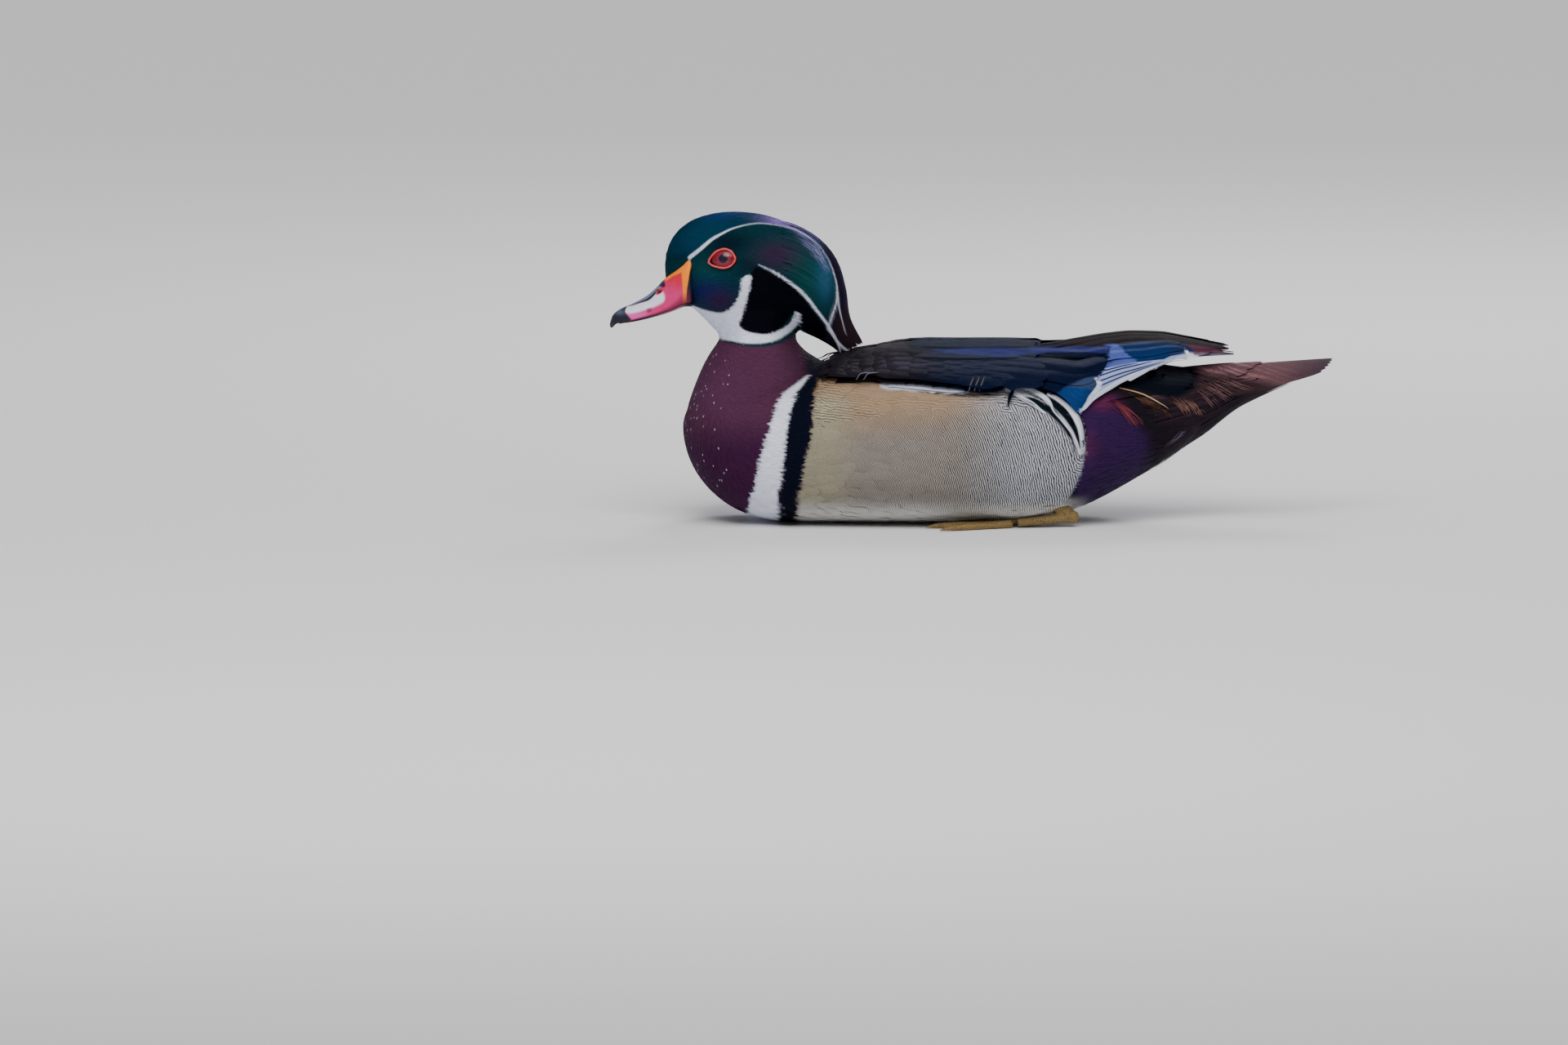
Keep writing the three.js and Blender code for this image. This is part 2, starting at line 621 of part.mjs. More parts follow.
function foot(side, grow = 0) {
  const rods = toes.map((toe) => {
    const at = toeLine(toe, side);
    const r = toe.radius + grow;
    return rod(
      [at(0, 2.4), at(0.3, 2), at(0.6, 1.9), at(0.86, 1.7), at(1, 0.7)],
      [r * 1.2, r, r * 0.95, r * 0.7, 0.45 + grow],
    );
  });
  const webs = range(2).map((i) => {
    const [a, b] = [toeLine(toes[i], side), toeLine(toes[i + 1], side)];
    return plate(5, 5, (row, column, face) => {
      const across = column / 4;
      const share = (row / 4) * 0.84 * (1 - 0.22 * Math.sin(across * Math.PI) * (row / 4));
      const height = face ? 1.5 + grow : 0.1 - grow;
      return a(share, height).lerp(b(share, height), across);
    });
  });
  const spur = new THREE.Vector3(footBase.x, side * (footBase.y - 3), 3);
  const hallux = rod(
    [[0, 0, 0], [5, -3, 0.4], [9, -5, -1.6]].map(([x, y, z]) => new THREE.Vector3(x, side * y, z).add(spur)),
    [1.5 + grow, 1.3 + grow, 0.5 + grow],
    8,
  );
  return joined([...rods, ...webs, hallux]);
}

// A straight tapered bone from one joint to the next.
function bone(from, to, fromRadius, toRadius, side) {
  const a = new THREE.Vector3(from.x, side * from.y, from.z);
  const b = new THREE.Vector3(to.x, side * to.y, to.z);
  const along = b.clone().sub(a);
  const shaft = new THREE.CylinderGeometry(toRadius, fromRadius, along.length(), 8);
  shaft.applyQuaternion(
    new THREE.Quaternion().setFromUnitVectors(new THREE.Vector3(0, 1, 0), along.normalize()),
  );
  const middle = a.lerp(b, 0.5);
  return solidOf(shaft.translate(middle.x, middle.y, middle.z));
}

function shank(side, grow = 0) {
  const heel = { x: footBase.x + 3.4 - 2 * grow, y: footBase.y - 0.4, z: footBase.z + 0.4 };
  const kneeEnd = { x: knee.x - 3 * grow, y: knee.y, z: knee.z + 2 * grow };
  const joint = new THREE.SphereGeometry(3.9 + grow, 10, 6).translate(ankle.x, side * ankle.y, ankle.z);
  return joined([
    bone(heel, ankle, 2.3 + grow, 2.9 + grow, side),
    bone(ankle, kneeEnd, 3.5 + grow, 5.4 + grow, side),
    solidOf(joint),
  ]);
}

// Whole bird, parted by thin cuts
const floor = below(new THREE.Vector3(0, 0, 1), 0);
const alongX = new THREE.Vector3(1, 0, 0);
const before = (x) => below(alongX, x);
const neckCutNormal = new THREE.Vector3(-0.22, 0, 0.975).normalize();
const neckCut = neckCutNormal.dot(new THREE.Vector3(-120, 0, 82));

const trunk = torsoLoft().add(neckLoft()).subtract(floor);
const grownTrunk = torsoLoft(gap).add(neckLoft());
const grownHead = headBall(gap + 0.05);
const bill = { upper: upperBill(), lower: lowerBill() };

const limbs = Object.fromEntries(Object.entries(sides).map(([name, side]) => {
  const footSolid = foot(side).subtract(floor);
  const legSolid = shank(side).subtract(floor).subtract(foot(side, gap));
  return [name, { foot: footSolid, leg: legSolid, clearance: foot(side, gap).add(shank(side, gap + 0.1)) }];
}));

const nodes = {};
const socket = upperBill(gap).add(lowerBill(gap));
nodes.head = headBall()
  .add(lidRing(-1)).add(lidRing(1))
  .subtract(eyeball(-1, gap)).subtract(eyeball(1, gap))
  .subtract(socket);
nodes.crest = joined([crestCore(0.5), ...crestLocks()]).subtract(grownHead).subtract(grownTrunk);
nodes.bill_upper = bill.upper.subtract(nostril(-1)).subtract(nostril(1));
nodes.bill_lower = bill.lower;
nodes.eye_left = eyeball(-1);
nodes.eye_right = eyeball(1);

const aboveNeckCut = trunk.subtract(below(neckCutNormal, neckCut + gap / 2));
const belowNeckCut = trunk.intersect(below(neckCutNormal, neckCut - gap / 2));
nodes.neck = aboveNeckCut.intersect(before(-70)).subtract(grownHead);
nodes.breast = belowNeckCut.intersect(before(breastEndX - gap / 2));
nodes.torso = belowNeckCut.subtract(before(breastEndX + gap / 2)).intersect(before(flankEndX - gap / 2));
nodes.rump = trunk.subtract(before(flankEndX + gap / 2)).intersect(before(rumpEndX - gap / 2));
for (const limb of Object.values(limbs)) {
  for (const name of ["breast", "torso", "rump"]) nodes[name] = nodes[name].subtract(limb.clearance);
}
const tailStub = trunk.subtract(before(rumpEndX + gap / 2));
nodes.tail = joined([tailStub, ...tailVanes(), ...underCoverts()]).subtract(before(rumpEndX + gap / 2));
for (const [name, side] of Object.entries(sides)) {
  nodes[`wing_${name}`] = joined([wingCore(side), ...wingVanes(side)]).subtract(grownTrunk);
  nodes[`leg_${name}`] = limbs[name].leg;
  nodes[`foot_${name}`] = limbs[name].foot;
}

// Materials, by what each piece is covered with
function finish(color, roughness, metalness = 0) {
  return new THREE.MeshStandardMaterial({ color, roughness, metalness });
}
const materials = {
  head: finish(0x0d3b3a, 0.4, 0.3),
  crest: finish(0x123a3e, 0.4, 0.3),
  bill_upper: finish(0xd8475a, 0.35),
  bill_lower: finish(0x2a2226, 0.4),
  eye: finish(0xb3202a, 0.08),
  neck: finish(0x4a1f33, 0.6),
  breast: finish(0x572338, 0.6),
  torso: finish(0xb7a487, 0.7),
  rump: finish(0x2c1a33, 0.6),
  tail: finish(0x33201f, 0.6),
  wing: finish(0x14224a, 0.4, 0.3),
  leg: finish(0xb08a3c, 0.6),
  foot: finish(0xb08a3c, 0.6),
};

const duck = new THREE.Group();
for (const [name, solid] of Object.entries(nodes)) {
  const kind = materials[name] ? name : name.split("_")[0];
  const mesh = new THREE.Mesh(geometryOf(largest(solid)), materials[kind]);
  mesh.name = name;
  duck.add(mesh);
}

export default duck;
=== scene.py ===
import math
import bpy
import numpy as np
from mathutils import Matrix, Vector, kdtree
from mathutils.bvhtree import BVHTree


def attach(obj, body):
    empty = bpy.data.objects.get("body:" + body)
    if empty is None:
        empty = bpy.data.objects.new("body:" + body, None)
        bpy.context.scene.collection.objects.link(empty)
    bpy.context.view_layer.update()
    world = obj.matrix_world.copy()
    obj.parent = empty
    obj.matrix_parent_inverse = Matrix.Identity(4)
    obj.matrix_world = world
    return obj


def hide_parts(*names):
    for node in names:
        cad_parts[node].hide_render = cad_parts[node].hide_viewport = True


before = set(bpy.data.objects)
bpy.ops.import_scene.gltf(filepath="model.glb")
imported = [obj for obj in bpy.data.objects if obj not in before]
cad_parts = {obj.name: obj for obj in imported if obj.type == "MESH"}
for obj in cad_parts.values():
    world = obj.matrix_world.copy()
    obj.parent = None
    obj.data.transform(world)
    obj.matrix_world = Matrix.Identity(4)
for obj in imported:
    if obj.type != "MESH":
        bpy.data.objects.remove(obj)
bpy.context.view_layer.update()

# A drake wood duck, life size. Shapes are worked out in millimetres and become metres as meshes are made.
# The bill points to -X, the tail to +X, up is +Z and the bird's left side faces -Y.
metre = 0.001
rng = np.random.default_rng(17)
sides = {"left": -1, "right": 1}
viewTilt = math.radians(6)  # markings are laid out as the bird is seen from its side, a little from above


# Small mathematics
def smooth(low, high, x):
    t = np.clip((np.asarray(x, float) - low) / (high - low), 0, 1)
    return t * t * (3 - 2 * t)


def mixed(a, b, share):
    return a + (b - a) * share


def power(value, exponent):
    return np.sign(value) * np.abs(value) ** exponent


def unit(v):
    return v / np.maximum(np.linalg.norm(v, axis=-1, keepdims=True), 1e-9)


def profile(*knots):  # a curve through (place, value) knots that never overshoots them
    places, values = np.array(knots, float).T
    steps = np.diff(values) / np.diff(places)
    before, after = np.append(steps[0], steps), np.append(steps, steps[-1])
    product = before * after
    slopes = np.where(product <= 0, 0, 2 * product / np.where(before + after == 0, 1, before + after))

    def at(x):
        x = np.asarray(x, float)
        i = np.clip(np.searchsorted(places, x, side="right") - 1, 0, len(places) - 2)
        width, rise = places[i + 1] - places[i], values[i + 1] - values[i]
        t = np.clip((x - places[i]) / width, 0, 1)
        a, b = slopes[i] * width - rise, rise - slopes[i + 1] * width
        return values[i] + rise * t + t * (1 - t) * (a * (1 - t) + b * t)
    return at


def spline(points, closed=False):  # a smooth curve through points; at(0) is the first and at(1) the last
    points = np.array(points, float)
    count = len(points)
    if not closed:
        points = np.vstack([2 * points[0] - points[1], points, 2 * points[-1] - points[-2]])
    spans = count if closed else count - 1

    def at(t):
        place = np.clip(np.asarray(t, float), 0, 1) * spans
        i = np.minimum(place.astype(int), spans - 1)
        f = (place - i)[..., None]
        a, b, c, d = [points[(i + k - 1) % count] if closed else points[i + k] for k in range(4)]
        return 0.5 * (2 * b + (c - a) * f + (2 * a - 5 * b + 4 * c - d) * f ** 2
                      + (3 * b - a - 3 * c + d) * f ** 3)
    return at


def tint(red, green, blue):  # a screen colour as the linear colour that shaders use
    c = np.array([red, green, blue], float) / 255
    return np.where(c <= 0.04045, c / 12.92, ((c + 0.055) / 1.055) ** 2.4)


def sideView(p):  # where a point shows from the side: along the bird, and up
    return p[..., 0], p[..., 2] * math.cos(viewTilt) - np.abs(p[..., 1]) * math.sin(viewTilt)


# The trunk, neck and head as the solids have them
trunk = {
    "breast": -161.5, "breastHeight": 53, "end": 146, "upperRound": 2.2, "lowerRound": 2.5,
    "back": profile((-161, 78), (-140, 82), (-110, 86), (-85, 88.5), (-57, 92.5), (-28, 95), (10, 95),
                    (40, 94.5), (62, 93), (90, 89), (118, 85), (146, 84)),
    "belly": profile((-161, 0), (-85, -0.6), (30, -0.6), (62, 8), (90, 22), (118, 40), (132, 52), (146, 66)),
    "width": profile((-161, 56), (-130, 57), (-110, 60), (-90, 64), (-60, 68), (-30, 70), (0, 70), (30, 67),
                     (62, 58), (90, 43), (118, 29), (134, 21), (146, 13)),
    "widest": profile((-161, 53), (-110, 47), (0, 45), (62, 50), (118, 63), (146, 76)),
}
neck = {
    "front": profile((52, -159.6), (62, -159), (72, -156.2), (80.5, -153), (88.5, -149.4), (96, -145),
                     (103, -140.5), (116, -138)),
    "back": profile((52, -74), (80, -76), (88, -80), (92, -86), (96, -92), (103, -97), (116, -99)),
    "width": profile((52, 54), (62, 51), (72, 44), (80.5, 36), (88.5, 28.5), (96, 23.5), (103, 21),
                     (116, 20)),
}
head = {
    "centre": np.array([-124.0, 0.0, 137.0]), "halfWidth": 20.5,
    "outline": spline([(-171.3, 134), (-171.9, 146), (-167, 159.5), (-156.5, 168.6), (-141, 173.2),
                       (-124, 173.3), (-108, 170), (-96, 163), (-88, 152), (-84, 137), (-85, 121),
                       (-91, 108.5), (-103, 100.5), (-116, 97.6), (-130, 98.8), (-141.5, 104), (-149.5, 112),
                       (-157, 118.5), (-166, 125)], True),
}
around = head["outline"](np.linspace(0, 1, 721)) - head["centre"][[0, 2]]
order = np.argsort(np.arctan2(around[:, 1], around[:, 0]))
outlineAngles = np.arctan2(around[:, 1], around[:, 0])[order]
outlineReach = np.hypot(around[:, 0], around[:, 1])[order]


def noseRound(x, length):
    return np.sqrt(np.maximum(0, 1 - (1 - np.clip((x - trunk["breast"]) / length, 0, 1)) ** 2))


def crossSection(x, angle, width, up, down, middle, grow=0):  # angle 0 is the back, half a turn the keel
    c = np.cos(angle)
    roundness = np.where(c > 0, trunk["upperRound"], trunk["lowerRound"])
    y = (width + grow) * power(np.sin(angle), 2 / roundness)
    z = middle + (np.where(c > 0, up, down) + grow) * power(c, 2 / roundness)
    return np.stack(np.broadcast_arrays(x, y, z), -1)


def trunkPoint(x, angle, grow=0):
    middle = trunk["widest"](x)
    return crossSection(x, angle, trunk["width"](x) * noseRound(x, 46),
                        (trunk["back"](x) - middle) * noseRound(x, 40),
                        (middle - trunk["belly"](x)) * noseRound(x, 60), middle, grow)


def neckPoint(z, angle):
    middle, reach = (neck["front"](z) + neck["back"](z)) / 2, (neck["back"](z) - neck["front"](z)) / 2
    return np.stack(
        np.broadcast_arrays(middle + reach * np.cos(angle), neck["width"](z) * np.sin(angle), z), -1)


def headReach(angle):
    return np.interp(angle, outlineAngles, outlineReach, period=2 * math.pi)


def headTaper(angle):  # 0.5 is an ellipse, more is wedge-shaped
    return 0.5 + 0.26 * np.maximum(0, -np.cos(angle)) ** 2 + 0.1 * np.maximum(0, np.cos(angle)) ** 2


def headPoint(angle, share, side, grow=0):
    reach = (headReach(angle) + grow) * share
    y = (head["halfWidth"] + grow) * np.maximum(0, 1 - share ** 2) ** headTaper(angle) * side
    return np.stack(np.broadcast_arrays(head["centre"][0] + reach * np.cos(angle), y,
                                        head["centre"][2] + reach * np.sin(angle)), -1)


def headSide(x, z):  # the head's half width under a point of its side view
    dx, dz = x - head["centre"][0], z - head["centre"][2]
    angle = np.arctan2(dz, dx)
    share = np.minimum(1, np.hypot(dx, dz) / headReach(angle))
    return head["halfWidth"] * (1 - share ** 2) ** headTaper(angle)


# Crest: a flat drooping horn from the nape to a tip above the back
crest = {
    "upper": spline([(-112, 170), (-97, 165.5), (-84, 157), (-74.5, 145), (-69.6, 129), (-67.2, 113),
                     (-59.6, 98.4)]),
    "lower": spline([(-104, 110), (-98, 107), (-92, 104.5), (-86.5, 102), (-81.5, 99.4), (-77, 96.6),
                     (-72.6, 93)]),
    "thick": profile((0, 17), (0.3, 15.5), (0.55, 11.5), (0.8, 7), (1, 3.2)),
    "strandsPerSide": 420, "strandHalf": 0.85,
}


def crestPoint(along, across, side, grow=0):
    upper, lower = crest["upper"](along), crest["lower"](along)
    across = np.clip(np.asarray(across, float), 0.0, 1.0)
    p = upper + (lower - upper) * across[..., None]
    down = unit(lower - upper)
    swell = np.sqrt(np.maximum(0, 1 - (2 * across - 1) ** 2))
    p = p + down * (grow * np.clip((across - 0.5) * 2, -1, 1))[..., None]
    y = side * (crest["thick"](along) + grow) * swell
    return np.stack([p[..., 0], y, p[..., 1]], -1)


# Meshes
def meshObject(name, vertices, faces):
    mesh = bpy.data.meshes.new(name)
    mesh.from_pydata((np.asarray(vertices) * metre).tolist(), [], faces)
    mesh.update()
    thing = bpy.data.objects.new(name, mesh)
    bpy.context.scene.collection.objects.link(thing)
    return thing


def skinned(rings, first, last):  # vertices and faces of a closed skin over rings, with a point at each end
    rings = np.asarray(rings, float)
    count, size = rings.shape[:2]
    i, k = np.meshgrid(np.arange(count - 1), np.arange(size), indexing="ij")
    k2 = (k + 1) % size
    quads = np.stack([i * size + k, i * size + k2, (i + 1) * size + k2, (i + 1) * size + k],
                     -1).reshape(-1, 4)
    total = count * size
    caps = [(total, (k + 1) % size, k) for k in range(size)]
    caps += [(total + 1, total - size + k, total - size + (k + 1) % size) for k in range(size)]
    return np.vstack([rings.reshape(-1, 3), [first, last]]), quads.tolist() + caps


def finished(thing, *modifiers):  # the mesh after its modifiers, each (type, settings)
    for kind, settings in modifiers:
        modifier = thing.modifiers.new(kind.title(), kind)
        for key, value in settings.items():
            setattr(modifier, key, value)
    evaluated = thing.evaluated_get(bpy.context.evaluated_depsgraph_get())
    mesh = bpy.data.meshes.new_from_object(evaluated)
    thing.modifiers.clear()
    old, thing.data = thing.data, mesh
    bpy.data.meshes.remove(old)
    return thing


def shadeSmooth(mesh, sharpest=None):
    mesh.polygons.foreach_set("use_smooth", np.ones(len(mesh.polygons), bool))
    if sharpest:
        mesh.set_sharp_from_angle(angle=math.radians(sharpest))
    mesh.update()


def vertexArray(mesh, field="co"):
    values = np.empty(len(mesh.vertices) * 3, np.float32)
    source = mesh.vertices if field == "co" else mesh.vertex_normals
    source.foreach_get("co" if field == "co" else "vector", values)
    return values.reshape(-1, 3).astype(float)


def paint(mesh, **fields):  # per-vertex values: four numbers make a colour, three a vector, one a value
    for name, values in fields.items():
        values = np.asarray(values, np.float32)
        size = 1 if values.ndim == 1 else values.shape[1]
        kind, key = {1: ("FLOAT", "value"), 3: ("FLOAT_VECTOR", "vector"), 4: ("FLOAT_COLOR", "color")}[size]
        mesh.attributes.new(name, kind, "POINT").data.foreach_set(key, values.ravel())


skinLook = {"voxel": 1.5, "smoothing": 9, "coatDepth": 1.3}  # millimetres, rounds, millimetres under the coat


def makeSkin():
    turn = np.linspace(0, 2 * math.pi, 96, endpoint=False)
    x = trunk["breast"] + (trunk["end"] - trunk["breast"]) * ((np.arange(80) + 0.6) / 79.6) ** 1.6
    lofts = [skinned(trunkPoint(x[:, None], turn[None]), (trunk["breast"], 0, trunk["breastHeight"]),
                     (trunk["end"], 0, 76))]
    z = np.linspace(52, 116, 40)
    lofts.append(skinned(neckPoint(z[:, None], turn[None]), (-117, 0, 52), (-118, 0, 116)))
    tilt = np.linspace(-1, 1, 43)[1:-1] * math.pi / 2
    lofts.append(skinned(headPoint(turn[None], np.cos(tilt)[:, None], np.sign(tilt)[:, None]),
                         (-124, -20.5, 137), (-124, 20.5, 137)))
    reach = np.linspace(0, 0.93, 30)[:, None]
    slim = 1 - 0.35 * np.maximum(0, reach - 0.4)
    core = crestPoint(reach + 0 * turn, (1 - np.cos(turn))[None] / 2 + 0 * reach,
                      np.where(np.sin(turn) < 0, -1, 1), -0.8)
    core[..., 1] *= slim
    lofts.append(skinned(core, crestPoint(0, 0.5, 0), crestPoint(0.94, 0.5, 0)))
    vertices, faces = np.zeros((0, 3)), []
    for points, polygons in lofts:
        faces += [[len(vertices) + v for v in polygon] for polygon in polygons]
        vertices = np.vstack([vertices, points])
    thing = meshObject("skin", vertices, faces)
    remesh = {"mode": "VOXEL", "voxel_size": skinLook["voxel"] * metre}
    finished(thing, ("REMESH", remesh), ("SMOOTH", {"factor": 0.5, "iterations": skinLook["smoothing"]}))
    inward = vertexArray(thing.data, "normal") * skinLook["coatDepth"] * metre
    thing.data.vertices.foreach_set("co", (vertexArray(thing.data) - inward).astype(np.float32).ravel())
    shadeSmooth(thing.data)
    return thing


# Markings, the same on skin and feathers, laid out in the side view in millimetres
def curved(points, closed=False, steps=4):
    count = len(points) if closed else len(points) - 1
    return spline(points, closed)(np.linspace(0, 1, count * steps + 1)[: None if not closed else -1])


def toStretch(u, v, a, b):  # how far points are from the stretch between two points, and how far along it
    d = b - a
    t = np.clip(((u - a[0]) * d[0] + (v - a[1]) * d[1]) / (d @ d + 1e-9), 0, 1)
    return np.hypot(u - a[0] - t * d[0], v - a[1] - t * d[1]), t


# 1 on a line through the points, whose half width goes through widths
def stroke(u, v, path, widths, soft=0.5):
    line = curved(path)
    breadth = np.interp(np.linspace(0, 1, len(line)), np.linspace(0, 1, len(widths)), widths)
    best = np.full(u.shape, -1e9)
    for (a, b), (wa, wb) in zip(zip(line[:-1], line[1:]), zip(breadth[:-1], breadth[1:])):
        away, t = toStretch(u, v, a, b)
        best = np.maximum(best, mixed(wa, wb, t) - away)
    return smooth(-soft, soft, best)


def patch(u, v, outline, soft=0.6, rounded=True):  # 1 inside a closed outline
    line = curved(outline, True) if rounded else np.array(outline, float)
    inside, nearest = np.zeros(u.shape, bool), np.full(u.shape, 1e9)
    for a, b in zip(line, np.roll(line, -1, 0)):
        d = b - a
        crossing = (a[1] > v) != (b[1] > v)
        inside ^= crossing & (u < a[0] + (v - a[1]) * d[0] / (d[1] if d[1] else 1e-9))
        nearest = np.minimum(nearest, toStretch(u, v, a, b)[0])
    return smooth(-soft, soft, np.where(inside, nearest, -nearest))


def glow(u, v, centre, reach):  # 1 at the centre, fading over the reach along and up
    return np.exp(-((u - centre[0]) / reach[0]) ** 2 - ((v - centre[1]) / reach[1]) ** 2)


def layer(base, colour, mask):  # a colour over a colour where the mask is 1
    return base + (colour - base) * mask[..., None]


headMarks = {
    "white": tint(218, 224, 242), "black": tint(3, 4, 12), "green": tint(8, 44, 52), "crown": tint(6, 49, 70),
    "crownStripe": [(-156.4, 145.9), (-150, 150.9), (-144.1, 155.9), (-137.7, 159.5), (-131.4, 162.3),
                    (-120, 164.8), (-109.5, 164.1), (-99.1, 161.8), (-91.8, 158.2), (-84.5, 152.3),
                    (-79.1, 144.1), (-75.9, 135.5), (-74.5, 128.2), (-75, 120.9), (-77.3, 113.6),
                    (-80, 105.5)],
    "crownStripeWidth": [0.95, 0.8, 0.45, 0.16, 0.06, 0.12, 0.05, 0.14, 0.32, 0.42, 0.32],
    "crownBranch": [(-74.5, 126.5), (-73.2, 116.8), (-70, 104.1)],
    "crestStripe": [(-117.7, 141.4), (-110.9, 138.2), (-104.1, 134.1), (-94.1, 126.4), (-85.5, 115.9),
                    (-79.1, 107.3), (-74.1, 98.2), (-72.8, 93.2)],
    "crestStripeWidth": [0.1, 0.3, 0.5, 0.65, 0.7, 0.7, 0.6, 0.4],
    "crestFan": [(-79.5, 106), (-73, 97.5), (-67, 93.6), (-59, 95.5)],
    "throat": [(-156.8, 119.6), (-150, 117.3), (-144.1, 115.6), (-138.6, 115), (-134.5, 116.8),
               (-130.9, 120.5), (-127.9, 128), (-127.9, 132.3), (-125.4, 135.6), (-122.5, 135.3),
               (-122.7, 131.4), (-125, 121.8), (-127.8, 112.7), (-129.2, 109.3), (-128, 106.6),
               (-123.2, 104.2), (-114.5, 103), (-108.6, 104.4), (-101.4, 108.6), (-97, 115.6),
               (-95.2, 112.7), (-96.4, 108.6), (-101.4, 104.1), (-108.6, 99.9), (-116.8, 98.2), (-125, 98.2),
               (-133.6, 99.6), (-140.5, 101.2), (-143.4, 105), (-148.5, 111)],
    "ear": [(-122.3, 136.5), (-117.7, 140.5), (-104.1, 133.2), (-94.1, 125), (-86.8, 115), (-80, 104),
            (-84, 99), (-92.7, 102.3), (-96.8, 115.9), (-108.6, 104.1), (-123.2, 103.6), (-129.5, 109.5),
            (-125, 121.8)],
    "region": [(-200, 114), (-152, 110.5), (-146, 106.5), (-141.5, 101), (-133.6, 98.2), (-125, 96.6),
               (-116, 96.2), (-108, 97.6), (-101, 101), (-95.5, 103.6), (-88, 101), (-80, 94.5), (-72, 88),
               (-52, 88), (-52, 190), (-200, 190)],
}


def headColour(u, v):
    marks = headMarks
    colour = np.broadcast_to(marks["green"], u.shape + (3,)).copy()
    colour = layer(colour, tint(13, 58, 62), glow(u, v, (-148, 138), (11, 9)))
    colour = layer(colour, tint(24, 28, 84), 0.9 * glow(u, v, (-147, 126.5), (13, 7)))
    colour = layer(colour, tint(46, 22, 58), 0.85 * glow(u, v, (-139, 121.5), (8.5, 6)))
    colour = layer(colour, tint(50, 28, 56), 0.9 * glow(u, v, (-107, 147), (13, 8)))
    colour = layer(colour, tint(10, 58, 58), 0.8 * glow(u, v, (-90, 134), (11, 16)))
    colour = layer(colour, tint(7, 19, 34),
                   0.85 * glow(u, v, (-135, 154), (13, 5.5)) + 0.6 * glow(u, v, (-124, 141), (7, 5)))
    colour = layer(colour, tint(52, 92, 126), 0.6 * glow(u, v, (-81, 134), (5, 13)))
    colour = layer(colour, tint(38, 26, 58), 0.7 * glow(u, v, (-83, 104), (8, 6)))
    line = curved(marks["crownStripe"])
    crownShape = np.vstack([line, [(-78, 92), (-50, 88), (-50, 190), (-190, 190), (-190, 140)]])
    crown = patch(u, v, crownShape, 0.7, False)
    shade = np.broadcast_to(marks["crown"], u.shape + (3,)).copy()
    shade = layer(shade, tint(8, 30, 44), smooth(152, 140, v) * smooth(-150, -160, u))
    shade = layer(shade, tint(22, 56, 124), 0.65 * glow(u, v, (-140, 171.5), (16, 4.5)))
    shade = layer(shade, tint(6, 44, 62), 0.8 * glow(u, v, (-124, 166), (14, 4)))
    # painted highlight: a pale violet sheen on the rear of the crown, fading to a darker violet behind it
    shade = layer(shade, tint(150, 112, 200), 0.95 * glow(u, v, (-101, 167.5), (12, 5)))
    shade = layer(shade, tint(84, 62, 130), 0.8 * glow(u, v, (-88, 160), (7, 5)))
    shade = layer(shade, tint(26, 14, 40), smooth(-88, -78, u))
    shade = layer(shade, tint(40, 28, 34), smooth(126, 108, v) * smooth(-80, -72, u))
    colour = layer(colour, shade, crown)
    # painted highlight: pale lilac streaks of sheen over the rear crown and crest
    highlightStreaks = np.abs(np.sin((u + v) * 1.7 + np.sin(v * 0.9))) ** 3
    colour = layer(colour, tint(150, 140, 200),
                   0.6 * highlightStreaks * stroke(u, v, [(-98, 161), (-87, 151), (-80, 139)], [1, 3.2, 0.6], 1.6))
    colour = layer(colour, marks["black"], patch(u, v, marks["ear"], 0.8))
    colour = layer(colour, marks["white"], patch(u, v, marks["throat"], 0.5))
    for name in ("crownStripe", "crestStripe"):
        colour = layer(colour, marks["white"], stroke(u, v, marks[name], marks[name + "Width"], 0.4))
    colour = layer(colour, marks["white"], 0.75 * stroke(u, v, marks["crownBranch"], [0.6, 0.35, 0.15], 0.35))
    colour = layer(colour, marks["white"], 0.9 * stroke(u, v, marks["crestFan"], [0.4, 0.7, 0.6, 0.25], 0.4))
    return colour


